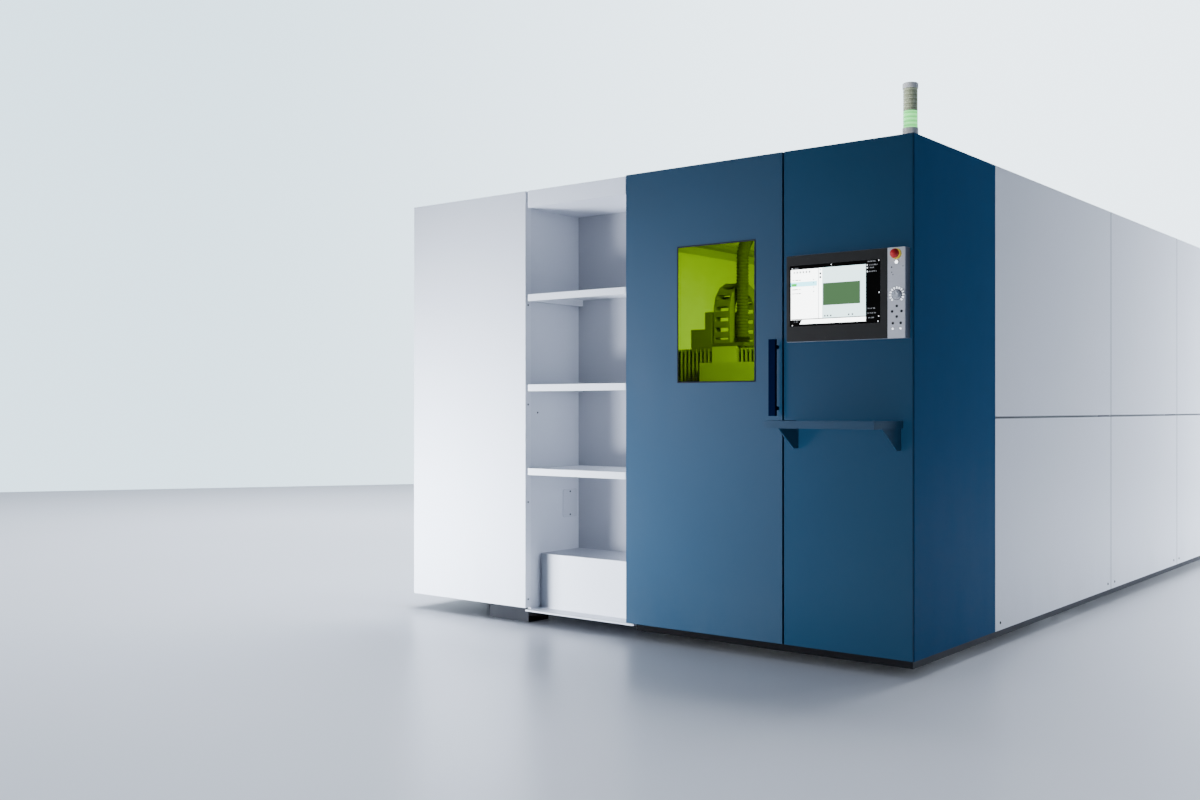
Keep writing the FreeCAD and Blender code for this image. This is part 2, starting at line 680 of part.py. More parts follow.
def corner_cover():
    """The front right cover: one sheet folded round the corner, with returns at both edges."""
    w, deep, skin = d.corner_width, d.corner_depth, d.skin
    back, inner = d.leaf_depth + d.frame_gap, w - d.panel_depth
    outline = [(0, 0), (w, 0), (w, deep), (inner, deep), (inner, back), (0, back)]
    hollow = [
        (skin, skin), (w - skin, skin), (w - skin, deep - skin), (inner, deep - skin),
        (inner, back), (skin, back),
    ]
    cover = body("corner_cover", (CORNER, FRONT, BOTTOM))
    pad(cover, draw(cover, "XY_Plane", outline), d.panel_height)
    pocket(cover, draw(cover, "XY_Plane", hollow, lift=d.panel_height - skin),
           d.panel_height - 2 * skin)
    round_edges(cover, d.fold_radius, upright_at((w, 0)))
    round_edges(cover, d.fold_radius - d.skin, upright_at((w - skin, skin)))
    node("corner_cover", cover)


def side_panels():
    """Two rows of covers on the right, two wide ones on the left."""
    x = RIGHT - d.panel_depth
    lower = d.seam_height - d.panel_gap / 2
    upper = d.panel_height - d.seam_height - d.panel_gap / 2
    upper_z = BOTTOM + d.seam_height + d.panel_gap / 2
    first = SIDE_START + d.panel_gap
    second = SIDE_START + d.side_front_length + d.panel_gap / 2
    third = second + d.side_middle_length
    front_length = d.side_front_length - d.panel_gap * 3 / 2
    middle_length = d.side_middle_length - d.panel_gap
    rear_length = REAR - third
    long_length = REAR - second
    rows = (
        ("right_lower_front_panel", first, front_length, BOTTOM, lower),
        ("right_lower_middle_panel", second, middle_length, BOTTOM, lower),
        ("right_lower_rear_panel", third, rear_length, BOTTOM, lower),
        ("right_upper_front_panel", first, front_length, upper_z, upper),
        ("right_upper_rear_panel", second, long_length, upper_z, upper),
    )
    for name, y, length, z, height in rows:
        node(name, cassette(name, (x, y, z), length, height, "right"))
    left = []
    middle = SIDE_START + d.side_front_length
    start = WHITE_FRONT + d.cabinet_depth + d.panel_gap
    spans = ((start, middle - d.panel_gap), (middle, REAR))
    for index, (near, far) in enumerate(spans):
        at = (LEFT + d.panel_depth, far, BOTTOM)
        name = f"left_panel_{index}"
        left.append(cassette(name, at, far - near, d.panel_height, "left"))
    node("left_side_panels", group("left_side_panels", left))


def rear_wall():
    """Covers round the opening through which the pallet leaves."""
    y = REAR - d.panel_depth
    left = LEFT + d.panel_depth
    right = RIGHT - d.panel_depth
    z = BOTTOM
    below = d.port_bottom - z
    side = d.port_top - d.port_bottom
    covers = (
        ("rear_upper_cover", right, d.port_top, right - left, TOP - d.port_top),
        ("rear_lower_cover", right, z, right - left, below),
        ("rear_left_cover", -d.port_left, d.port_bottom, -d.port_left - left, side),
        ("rear_right_cover", right, d.port_bottom, right - d.port_right, side),
    )
    parts = [
        cassette(name, (x, y, low), width, height, "rear") for name, x, low, width, height in covers
    ]
    node("rear_wall", group("rear_wall", parts))


def cabinet_front():
    """The plain white cover of the electrical cabinet, with a deep return into the alcove."""
    at = (LEFT, WHITE_FRONT + d.cabinet_depth, BOTTOM)
    width = d.cabinet_width
    cover = cassette("cabinet_front_panel", at, width, d.panel_height, "front", d.cabinet_depth)
    height = FRAME_TOP - BOTTOM
    flange = rectangle(d.skin, height, width - d.skin)
    pad(cover, draw(cover, "XY_Plane", flange), d.cabinet_return, backwards=True)
    node("cabinet_front_panel", cover)


# ---------------------------------------------------------------- alcove

ALCOVE_BACK = WHITE_FRONT + d.alcove_depth
SHELF_WIDTH = d.alcove_width - d.alcove_wall


def alcove_liner():
    """Two side walls and a back wall, bevelled where the chamber is seen past it."""
    t = d.alcove_wall
    front = WHITE_FRONT + d.cabinet_depth + d.cabinet_return
    depth = ALCOVE_BACK - front
    outline = [
        (-t, 0), (0, 0), (0, depth), (SHELF_WIDTH, depth), (SHELF_WIDTH, 0),
        (d.alcove_width, 0), (d.alcove_width, depth + t - d.alcove_bevel_along),
        (d.alcove_width - d.alcove_bevel_across, depth + t), (-t, depth + t),
    ]
    bottom = BOTTOM - d.sill_drop
    height = FRAME_TOP - bottom
    liner = body("alcove_liner", (ALCOVE, front, bottom))
    pad(liner, draw(liner, "XY_Plane", outline), height)
    node("alcove_liner", liner)


def folded_shelf(name, top, lip, skin):
    """A shelf with a front lip and a rounded left corner, open underneath."""
    depth = d.alcove_depth
    shelf = body(name, (ALCOVE, WHITE_FRONT, BOTTOM + top - lip))
    pad(shelf, draw(shelf, "XY_Plane", rectangle(SHELF_WIDTH, depth)), lip)
    round_edges(shelf, d.shelf_corner_radius, upright_at((0, 0)))
    inner_x = d.shelf_corner_radius
    hollow = rectangle(SHELF_WIDTH - inner_x, depth - skin, inner_x, skin)
    pocket(shelf, draw(shelf, "XY_Plane", hollow), lip - skin, upwards=True)
    return shelf


def shelves():
    """Three alike shelves and the deep header over them."""
    tops = {
        "upper_shelf": d.upper_shelf_top,
        "middle_shelf": d.middle_shelf_top,
        "lower_shelf": d.lower_shelf_top,
    }
    for name, top in tops.items():
        node(name, folded_shelf(name, top, d.shelf_lip, d.shelf_skin))


def alcove_header():
    """The ceiling of the alcove, folded up at its front and back again at the roof."""
    height, skin = d.header_height, d.shelf_skin
    rim = d.leaf_depth + d.frame_gap - d.white_setback
    header = body("alcove_header", (ALCOVE, WHITE_FRONT, TOP - height))
    pad(header, draw(header, "XY_Plane", rectangle(SHELF_WIDTH, d.alcove_depth)), height)
    round_edges(header, d.shelf_corner_radius, upright_at((0, 0)))
    above = rectangle(SHELF_WIDTH, d.alcove_depth - rim, 0, rim)
    pocket(header, draw(header, "XY_Plane", above, lift=height), height - skin)
    inner = d.shelf_corner_radius
    inside = rectangle(SHELF_WIDTH - inner, height - 2 * skin, inner, skin)
    pocket(header, draw(header, "XZ_Plane", inside, lift=-rim), rim - skin, upwards=True)
    node("alcove_header", header)


def alcove_step():
    """The low box at the foot of the alcove, and the sill that it stands on."""
    z = BOTTOM - d.sill_drop
    depth = d.alcove_depth - d.step_setback
    height = d.step_top + d.sill_drop
    step = body("alcove_step_cover", (ALCOVE, WHITE_FRONT + d.step_setback, z))
    pad(step, draw(step, "XY_Plane", rectangle(SHELF_WIDTH, depth)), height)
    round_edges(step, d.step_corner_radius, upright_at((0, 0)))
    skin, inner = d.step_skin, d.step_corner_radius
    hollow = rectangle(SHELF_WIDTH - inner - skin, depth - skin, inner, skin)
    pocket(step, draw(step, "XY_Plane", hollow), height - skin, upwards=True)
    node("alcove_step_cover", step)
    size = (d.alcove_width + d.sill_tuck, d.alcove_depth, d.sill_thickness)
    node("sill_plate", block("sill_plate", (ALCOVE, WHITE_FRONT, z - d.sill_thickness), size))


def service_cover():
    """A small rounded plate screwed to the left wall of the alcove."""
    radius = d.cover_corner_radius
    width, height = d.cover_length, d.cover_height
    at = (ALCOVE, FRONT + d.cover_from_front, BOTTOM + d.cover_bottom)
    plate = body("service_cover", at, "right")
    pad(plate, draw(plate, "XY_Plane", rectangle(width, height)), d.cover_thickness)
    corners = ((0, 0), (width, 0), (width, height), (0, height))
    round_edges(plate, radius, upright_at(*corners))
    node("service_cover", plate)


def screw_head(name, at, along, length):
    """A flat hexagonal screw head that lies on a cover."""
    return prism(name, at, 6, d.screw_radius, length, along)


def cover_screws():
    """The heads of the screws that show: on the service cover and along the alcove's edge."""
    heads = []
    cover_y = FRONT + d.cover_from_front + d.cover_length / 2
    cover_z = BOTTOM + d.cover_bottom
    for index, z in enumerate((d.cover_corner_radius, d.cover_height - d.cover_corner_radius)):
        at = (ALCOVE + d.cover_thickness, cover_y, cover_z + z)
        heads.append(screw_head(f"cover_screw_{index}", at, "x", d.screw_head))
    levels = (d.edge_screw_low, d.edge_screw_second, d.edge_screw_third, d.edge_screw_top)
    for index, z in enumerate(levels):
        at = (ALCOVE, WHITE_FRONT + d.edge_screw_inset, BOTTOM + z)
        heads.append(screw_head(f"edge_screw_{index}", at, "x", d.screw_head))
    at = (ALCOVE, WHITE_FRONT + d.wall_screw_inset, BOTTOM + d.wall_screw_height)
    heads.append(screw_head("wall_screw", at, "x", d.screw_head))
    node("cover_screws", group("cover_screws", heads))


# ---------------------------------------------------------------- door

LEAF_WIDTH = d.door_width - d.door_gap
PIVOT_X = DOOR + d.pivot_inset
PIVOT_Y = FRONT + d.pivot_inset
HINGE_HEIGHTS = (
    BOTTOM + d.hinge_margin,
    BOTTOM + d.panel_height / 2,
    TOP - d.hinge_margin,
)


def door_leaf():
    """A deep folded leaf with a collar round its window and knuckles for the pivots."""
    width, height, skin = LEAF_WIDTH, d.panel_height, d.skin
    leaf = body("leaf_sheet", (DOOR, FRONT + d.leaf_depth, BOTTOM), "front")
    pad(leaf, draw(leaf, "XY_Plane", rectangle(width, height)), d.leaf_depth)
    margin = d.pane_margin + d.collar_wall
    collar = rectangle(
        d.window_width + 2 * margin, d.window_height + 2 * margin,
        d.window_left - margin, d.window_bottom - margin,
    )
    hollow = rectangle(width - 2 * skin, height - 2 * skin, skin, skin)
    pocket(leaf, draw(leaf, "XY_Plane", hollow, collar), d.leaf_depth - skin, upwards=True)
    seat = rectangle(
        d.window_width + 2 * d.pane_margin, d.window_height + 2 * d.pane_margin,
        d.window_left - d.pane_margin, d.window_bottom - d.pane_margin,
    )
    pocket(leaf, draw(leaf, "XY_Plane", seat), d.leaf_depth - skin, upwards=True)
    window = rectangle(d.window_width, d.window_height, d.window_left, d.window_bottom)
    pocket(leaf, draw(leaf, "XY_Plane", window), d.leaf_depth, upwards=True)
    solids, cuts = [leaf], []
    half = d.knuckle_size / 2
    reach = d.knuckle_gap + d.arm_thickness / 2
    for index, z in enumerate(HINGE_HEIGHTS):
        for side, low in (("upper", z + reach), ("lower", z - reach - d.knuckle_height)):
            at = (DOOR + skin, FRONT + skin, low)
            size = (d.pivot_inset - skin + half, d.pivot_inset - skin + half, d.knuckle_height)
            solids.append(block(f"knuckle_{side}_{index}", at, size))
        length = 2 * (reach + d.knuckle_height)
        bore_at = (PIVOT_X, PIVOT_Y, z - length / 2)
        cuts.append(rod(f"knuckle_bore_{index}", bore_at, d.pin_radius + d.pin_clearance, length))
        notch_at = (DOOR, FRONT + skin, z - reach)
        cuts.append(block(f"arm_notch_{index}", notch_at, (skin, d.leaf_depth, 2 * reach)))
    node("door_leaf", less("door_leaf", fused("leaf_with_knuckles", *solids), *cuts))


def hinge_pintles():
    """Arms on the door frame, each with a pin that stands in the leaf's knuckles."""
    parts = []
    frame_y = FRONT + d.leaf_depth + d.frame_gap
    half = d.arm_width / 2
    for index, z in enumerate(HINGE_HEIGHTS):
        low = z - d.arm_thickness / 2
        size = (d.arm_width, frame_y - PIVOT_Y, d.arm_thickness)
        arm = block(f"hinge_arm_{index}", (PIVOT_X - half, PIVOT_Y, low), size)
        eye = rod(f"hinge_eye_{index}", (PIVOT_X, PIVOT_Y, low), half, d.arm_thickness)
        pin_at = (PIVOT_X, PIVOT_Y, z - d.pin_length / 2)
        pin = rod(f"hinge_pin_{index}", pin_at, d.pin_radius, d.pin_length)
        parts.append(fused(f"pintle_{index}", arm, eye, pin))
    node("hinge_pintles", group("hinge_pintles", parts))


def window():
    """The pane in its collar and the flat seal between pane and sheet."""
    margin = d.pane_margin
    at_x, at_z = DOOR + d.window_left, BOTTOM + d.window_bottom
    y = FRONT + d.skin
    outer = (d.window_width + 2 * margin, d.seal_thickness, d.window_height + 2 * margin)
    ring = block("seal_outside", (at_x - margin, y, at_z - margin), outer)
    inner = block("seal_inside", (at_x, y, at_z), (d.window_width, d.seal_thickness, d.window_height))
    node("window_seal", less("window_seal", ring, inner))
    pane_at = (at_x - margin, y + d.seal_thickness, at_z - margin)
    size = (outer[0], d.pane_thickness, outer[2])
    node("window_pane", block("window_pane", pane_at, size))


def door_handle():
    """A flat upright bar on two round posts."""
    x = DOOR + LEAF_WIDTH - d.handle_edge - d.handle_width
    z = BOTTOM + d.handle_bottom
    y = FRONT - d.handle_offset
    bar = body("handle_bar", (x, y, z), "front")
    outline = rectangle(d.handle_width, d.handle_length)
    pad(bar, draw(bar, "XY_Plane", outline), d.handle_thickness)
    parts = [bar]
    inset = d.handle_post_inset
    for index, rise in enumerate((inset, d.handle_length - inset)):
        at = (x + d.handle_width / 2, y, z + rise)
        parts.append(rod(f"handle_post_{index}", at, d.handle_post_radius, d.handle_offset, "y"))
    node("door_handle", fused("door_handle", *parts))


# ---------------------------------------------------------------- control terminal

TERMINAL_LEFT = RIGHT - d.terminal_right_gap - d.terminal_width
TERMINAL_BOTTOM = BOTTOM + d.terminal_bottom
PLATE_LEFT = RIGHT - d.terminal_right_gap - d.plate_width
PLATE_BACK = FRONT - d.terminal_depth
PLATE_FRONT = PLATE_BACK - d.front_plate
CONTROL_X = PLATE_LEFT + d.plate_width - d.control_inset
KEY_SIDES = 16
KEYS = {
    "jog_up_key": (0, d.jog_height + d.jog_rise),
    "jog_left_key": (-d.jog_spread, d.jog_height),
    "jog_right_key": (d.jog_spread, d.jog_height),
    "jog_down_key": (0, d.jog_height - d.jog_rise),
    "stop_feed_key": (-d.key_row_spread, d.key_row_height),
    "start_feed_key": (d.key_row_spread, d.key_row_height),
}


def terminal():
    """The housing, the dark bezel with its screen, and the silver plate of controls."""
    width, height = d.terminal_width, d.terminal_height
    at = (TERMINAL_LEFT + width, FRONT - d.terminal_depth, TERMINAL_BOTTOM)
    housing = cassette("terminal_housing", at, width, height, "rear", d.terminal_depth)
    node("terminal_housing", housing)
    bezel_width = width - d.plate_width
    bezel = body("display_bezel", (TERMINAL_LEFT, PLATE_BACK, TERMINAL_BOTTOM), "front")
    pad(bezel, draw(bezel, "XY_Plane", rectangle(bezel_width, height)), d.front_plate)
    round_edges(bezel, d.terminal_corner_radius, upright_at((0, 0), (0, height)))
    opening = rectangle(d.screen_width, d.screen_height, d.screen_left, d.screen_bottom)
    pocket(bezel, draw(bezel, "XY_Plane", opening), d.front_plate, upwards=True)
    node("display_bezel", bezel)
    depth = d.front_plate - d.screen_recess
    corner = (TERMINAL_LEFT + d.screen_left, PLATE_BACK - depth, TERMINAL_BOTTOM + d.screen_bottom)
    size = (d.screen_width, depth, d.screen_height)
    node("display_screen", block("display_screen", corner, size))


def control_plate():
    """The silver plate, bored for every control on it."""
    width, height = d.plate_width, d.terminal_height
    plate = body("control_plate", (PLATE_LEFT, PLATE_BACK, TERMINAL_BOTTOM), "front")
    pad(plate, draw(plate, "XY_Plane", rectangle(width, height)), d.front_plate)
    round_edges(plate, d.terminal_corner_radius, upright_at((width, 0), (width, height)))
    middle = width - d.control_inset
    play = d.control_clearance
    holes = [
        ((middle, d.stop_height), d.stop_stem_radius + play),
        ((middle, d.power_height), d.power_radius + play),
        ((middle, d.dial_height), d.dial_shaft_radius + play),
    ]
    holes += [polygon((middle + x, z), d.key_radius + play, KEY_SIDES) for x, z in KEYS.values()]
    pocket(plate, draw(plate, "XY_Plane", *holes), d.front_plate, upwards=True)
    node("control_plate", plate)


def stop_control():
    """The round collar and the mushroom button that is pushed into it."""
    z = TERMINAL_BOTTOM + d.stop_height
    ring = body("stop_collar", (CONTROL_X, PLATE_FRONT, z), "front")
    loops = (((0, 0), d.collar_radius), ((0, 0), d.stop_stem_radius + d.control_clearance))
    pad(ring, draw(ring, "XY_Plane", *loops), d.collar_thickness)
    node("stop_collar", ring)
    under = d.front_plate + d.collar_thickness + d.stop_travel + 2 * d.control_clearance
    cap_y = PLATE_BACK - under
    rim = d.stop_radius / 2
    brim = d.stop_cap_thickness - rim
    stem = rod("stop_stem", (CONTROL_X, cap_y, z), d.stop_stem_radius, under, "y")
    brim_disc = rod("stop_brim", (CONTROL_X, cap_y - brim, z), d.stop_radius, brim, "y")
    crown_at = (CONTROL_X, cap_y - brim, z)
    crown = taper("stop_crown", crown_at, d.stop_radius, d.stop_radius - rim, rim, "front")
    node("stop_button", fused("stop_button", stem, brim_disc, crown))


def dial():
    """The override dial: a tapered knob with a pointer groove, on its shaft."""
    z = TERMINAL_BOTTOM + d.dial_height
    back = PLATE_FRONT - d.dial_gap
    front = back - d.dial_length
    tail = d.dial_length / 3
    shaft_length = tail + d.front_plate + d.dial_gap
    shaft = rod("dial_shaft", (CONTROL_X, back, z), d.dial_shaft_radius, shaft_length, "y")
    groove_width = d.dial_length / 9
    knob_at = (CONTROL_X, back, z)
    front_radius = d.dial_radius - groove_width
    knob = taper("dial_knob", knob_at, d.dial_radius, front_radius, d.dial_length, "front")
    groove = block(
        "dial_groove", (CONTROL_X - groove_width / 2, front, z + d.dial_radius / 4),
        (groove_width, groove_width, d.dial_radius),
    )
    node("override_dial", less("override_dial", fused("dial_with_shaft", shaft, knob), groove))


def push_buttons():
    """The round power button and the six small keys, each through its hole in the plate."""
    tail = d.key_length - d.key_proud
    power_at = (CONTROL_X, PLATE_FRONT - d.power_proud, TERMINAL_BOTTOM + d.power_height)
    node("power_button", rod("power_button", power_at, d.power_radius, d.power_proud + tail, "y"))
    for name, (x, height) in KEYS.items():
        at = (CONTROL_X + x, PLATE_FRONT - d.key_proud, TERMINAL_BOTTOM + height)
        node(name, prism(name, at, KEY_SIDES, d.key_radius, d.key_length, "y"))


# ---------------------------------------------------------------- tray and beacon

def tray():
    """A shallow folded tray with a gusset near each end."""
    x = RIGHT - d.tray_right_gap - d.tray_width
    z = BOTTOM + d.tray_top - d.tray_lip
    skin = d.tray_skin
    pan = body("tray", (x, FRONT - d.tray_depth, z))
    pad(pan, draw(pan, "XY_Plane", rectangle(d.tray_width, d.tray_depth)), d.tray_lip)
    hollow = rectangle(d.tray_width - 2 * skin, d.tray_depth - 2 * skin, skin, skin)
    pocket(pan, draw(pan, "XY_Plane", hollow, lift=d.tray_lip), d.tray_lip - skin)
    node("tray", pan)
    outline = [
        (0, 0), (0, -d.gusset_drop), (-d.gusset_toe, -d.gusset_drop), (-d.gusset_depth, 0),
    ]
    gussets = []
    ends = (x + d.gusset_inset, x + d.tray_width - d.gusset_inset - d.gusset_thickness)
    for side, at_x in zip(("left", "right"), ends):
        gusset = body(f"gusset_{side}", (at_x, FRONT, z))
        pad(gusset, draw(gusset, "YZ_Plane", outline), d.gusset_thickness)
        gussets.append(gusset)
    node("tray_brackets", group("tray_brackets", gussets))


def beacon():
    """The signal beacon: base, two stacked lenses and cap."""
    x = RIGHT - d.beacon_right_gap
    y = FRONT + d.beacon_from_front
    z = TOP - d.roof_drop
    radius, lens = d.beacon_radius, d.beacon_lens_radius
    base_height = d.beacon_base_height + d.roof_drop
    node("beacon_base", rod("beacon_base", (x, y, z), radius, base_height))
    z = z + base_height
    lower = rod("beacon_lower_lens", (x, y, z), lens, d.beacon_lower_lens)
    z = z + d.beacon_lower_lens
    upper = rod("beacon_upper_lens", (x, y, z), lens, d.beacon_upper_lens)
    node("beacon_lens", group("beacon_lens", (lower, upper)))
    z = z + d.beacon_upper_lens
    bevel = 3 * (radius - lens) / 2
    rim = d.beacon_cap_height - bevel
    band = rod("cap_band", (x, y, z), radius, rim)
    crown = taper("cap_crown", (x, y, z + rim), radius, radius - bevel, bevel)
    node("beacon_cap", fused("beacon_cap", band, crown))


# ---------------------------------------------------------------- gantry

BEAM_Y = FRONT + d.beam_from_front
BEAM_LENGTH = d.beam_left + d.beam_right
BEAM_TOP = d.beam_bottom + d.beam_height
CHEEK_LEFT = -d.beam_left + d.beam_rail_width - d.cheek_thickness
CHEEK_RIGHT = d.beam_right - d.beam_rail_width
BELLOWS_Y = FRONT + d.bellows_front


def gantry_beam():
    """A hollow beam on two trucks, with a top rail and cheeks that hold the bellows."""
    beam = tube(
        "beam_section", (-d.beam_left, BEAM_Y, d.beam_bottom),
        (BEAM_LENGTH, d.beam_depth, d.beam_height), "x", d.beam_wall,
    )
    rail_at = (-d.beam_left, BEAM_Y + (d.beam_depth - d.beam_rail_width) / 2, BEAM_TOP)
    rail_height = d.spine_top - d.slide_gap - BEAM_TOP
    rail = block("beam_rail", rail_at, (BEAM_LENGTH, d.beam_rail_width, rail_height))
    cheek = (d.cheek_thickness, BEAM_Y - BELLOWS_Y, d.bellows_height)
    parts = [beam, rail]
    for side, x in (("left", CHEEK_LEFT), ("right", CHEEK_RIGHT)):
        parts.append(block(f"cheek_{side}", (x, BELLOWS_Y, d.bellows_bottom), cheek))
    solids = [fused("gantry_beam_welded", *parts)]
    middle = (d.bed_beam_width - d.truck_width) / 2
    low = d.bed_top + d.rail_height + d.slide_gap
    size = (d.truck_width, d.truck_length, d.beam_bottom - low)
    y = BEAM_Y + (d.beam_depth - d.truck_length) / 2
    for side, x in (("left", -d.bed_left + middle), ("right", BED_INNER_RIGHT + middle)):
        solids.append(block(f"truck_{side}", (x, y, low), size))
    node("gantry_beam", group("gantry_beam", solids))


def pleated(name, start, end):
    """Bellows: a thin sheet folded to and fro between two upright planes.

    The folds stand evenly between start and end, one every fold_pitch or nearly so.
    """
    folds = max(2, round((end.value - start.value) / d.fold_pitch.value))
    half_pitch = (end.value - start.value) / (2 * folds)
    near, skin = BELLOWS_Y.value, d.bellows_skin.value
    deep = near + d.bellows_depth.value - skin
    xs = [start.value + index * half_pitch for index in range(2 * folds + 1)]
    front = [Vector(x, near if n % 2 else deep) for n, x in enumerate(xs)]
    back = [Vector(point.x, point.y + skin) for point in reversed(front)]
    outline = Part.makePolygon(front + back + front[:1])
    solid = Part.Face(outline).extrude(Vector(0, 0, d.bellows_height.value))
    solid.translate(Vector(0, 0, d.bellows_bottom.value))
    return node(name, computed(name, solid))


# ---------------------------------------------------------------- carriage

SPINE_Y = BEAM_Y - d.spine_depth - d.slide_gap
SADDLE_TOP = d.spine_top + d.saddle_thickness


def carriage_body():
    """The spine on the beam with its saddle, the box in front, and the motor."""
    height = d.spine_top - d.spine_bottom
    spine = block(
        "carriage_spine", (d.spine_left, SPINE_Y, d.spine_bottom),
        (d.spine_width, d.spine_depth, height),
    )
    box = body("carriage_box", (d.box_left, SPINE_Y - d.box_depth, d.spine_bottom))
    pad(box, draw(box, "XY_Plane", rectangle(d.box_width, d.box_depth)), d.box_height)
    skin = d.box_skin
    hollow = rectangle(d.box_width - 2 * skin, d.box_depth - 2 * skin, skin, skin)
    pocket(box, draw(box, "XY_Plane", hollow), d.box_height - skin, upwards=True)
    slot_x = d.head_x - d.box_left - d.slide_block_width / 2 - skin
    slot_y = d.box_depth - d.slide_block_depth - skin
    slot = rectangle(d.slide_block_width + 2 * skin, d.slide_block_depth + skin, slot_x, slot_y)
    pocket(box, draw(box, "XY_Plane", slot), d.box_height - skin, upwards=True)
    saddle = block(
        "carriage_saddle", (d.spine_left, SPINE_Y, d.spine_top),
        (d.saddle_width, d.saddle_length, d.saddle_thickness),
    )
    motor_at = (d.motor_x, FRONT + d.motor_from_front, SADDLE_TOP)
    motor = rod("drive_motor", motor_at, d.motor_radius, d.motor_height)
    frame = fused("carriage_frame", spine, saddle)
    node("carriage_body", group("carriage_body", [frame, box, motor]))


def carriage_guard():
    """The stepped guard box beside the chain, open at its back."""
    near = -d.guard_inner_step
    far = near - d.guard_outer_step
    low, high, skin = d.guard_low, d.guard_high, d.guard_skin
    outline = [(0, 0), (far, 0), (far, low), (near, low), (near, high), (0, high)]
    hollow = [
        (-skin, skin), (skin + far, skin), (skin + far, low - skin),
        (skin + near, low - skin), (skin + near, high - skin), (-skin, high - skin),
    ]
    guard = body("carriage_guard", (d.spine_left, SPINE_Y + d.guard_depth, d.spine_top), "front")
    pad(guard, draw(guard, "XY_Plane", outline), d.guard_depth)
    pocket(guard, draw(guard, "XY_Plane", hollow), d.guard_depth - skin, upwards=True)
    node("carriage_guard", guard)


def chain_stations():
    """Points and outward directions along the chain: up the front leg, over, down the rear.

    Each entry is the middle line's (y, z) and the direction away from the inside of the bend.
    """
    radius = d.chain_bend_radius.value
    y0 = SPINE_Y.value + d.chain_height.value / 2
    z0 = SADDLE_TOP.value + d.chain_foot.value
    leg = d.chain_leg.value
    leg_links = int(d.chain_leg_links.value)
    bend_links = int(d.chain_bend_links.value)
    up = [((y0, z0 + leg * n / leg_links), (-1, 0)) for n in range(leg_links)]
    angles = [math.pi * n / bend_links for n in range(bend_links + 1)]
    over = []
    for angle in angles:
        out = (-math.cos(angle), math.sin(angle))
        over.append(((y0 + radius + radius * out[0], z0 + leg + radius * out[1]), out))
    y1 = y0 + 2 * radius
    down = [((y1, z0 + leg - leg * n / leg_links), (1, 0)) for n in range(1, leg_links + 1)]
    return up + over + down


def link_prism(near, far, inner, outer, start, end, x, width):
    """A four-sided prism of a link between two stations.

    inner and outer are distances from the middle line, start and end are shares of the link.
    """
    def corner(share, offset):
        (ay, az), (ny, nz) = near
        (by, bz), (my, mz) = far
        y = ay + (by - ay) * share + (ny + (my - ny) * share) * offset
        z = az + (bz - az) * share + (nz + (mz - nz) * share) * offset
        return Vector(x, y, z)

    points = [corner(start, inner), corner(end, inner), corner(end, outer), corner(start, outer)]
    return Part.Face(Part.makePolygon(points + points[:1])).extrude(Vector(width, 0, 0))


def energy_chain():
    """The arched energy chain on its two feet: links with two side plates and two cross bars."""
    stations = chain_stations()
    half = d.chain_height.value / 2
    left, width = d.chain_left.value, d.chain_width.value
    wall, skin = d.link_wall.value, d.bar_skin.value
    links = []
    last = len(stations) - 2
    for index, (near, far) in enumerate(zip(stations, stations[1:])):
        length = math.dist(near[0], far[0])
        trim = d.link_gap.value / 2 / length
        bar = d.bar_width.value / 2 / length
        start = 0 if index == 0 else trim
        end = 1 if index == last else 1 - trim
        pieces = [
            link_prism(near, far, -half, half, start, end, left, wall),
            link_prism(near, far, -half, half, start, end, left + width - wall, wall),
            link_prism(near, far, half - skin, half, 0.5 - bar, 0.5 + bar, left + wall,
                       width - 2 * wall),
            link_prism(near, far, -half, skin - half, 0.5 - bar, 0.5 + bar, left + wall,
                       width - 2 * wall),
        ]
        links.append(pieces[0].fuse(pieces[1:]).removeSplitter())
    foot = (d.chain_width, d.chain_height, d.chain_foot)
    feet = [
        block(f"chain_foot_{side}", (d.chain_left, SPINE_Y + along, SADDLE_TOP), foot)
        for side, along in (("front", 0), ("rear", 2 * d.chain_bend_radius))
    ]
    arch = computed("chain_links", Part.makeCompound(links))
    node("energy_chain", group("energy_chain", [arch, *feet]))


def hose_section(side):
    """The hose's twelve-sided section, on one side of the arch's middle line."""
    angles = [math.pi * n / 6 for n in range(12)]
    return [
        (side * (d.hose_bend_radius + d.hose_radius * math.cos(a)), d.hose_radius * math.sin(a))
        for a in angles
    ]


def supply_hose():
    """The hose in a tall arch from the front to the rear of the saddle, with its collars."""
    bend = d.hose_bend_radius
    front = FRONT + d.hose_from_front
    hose = body("hose_arch", (d.hose_x, front + bend, SADDLE_TOP + d.hose_leg), "right")
    turn(hose, draw(hose, "XZ_Plane", hose_section(1)), 180)
    pad(hose, draw(hose, "XZ_Plane", hose_section(1), hose_section(-1)), d.hose_leg)
    parts = [hose]
    for side, y in (("front", front), ("rear", front + 2 * bend)):
        at = (d.hose_x, y, SADDLE_TOP)
        collar = prism(f"hose_collar_{side}", at, 12, d.hose_collar_radius, d.hose_collar_height)
        parts.append(collar)
    node("supply_hose", fused("supply_hose", *parts))


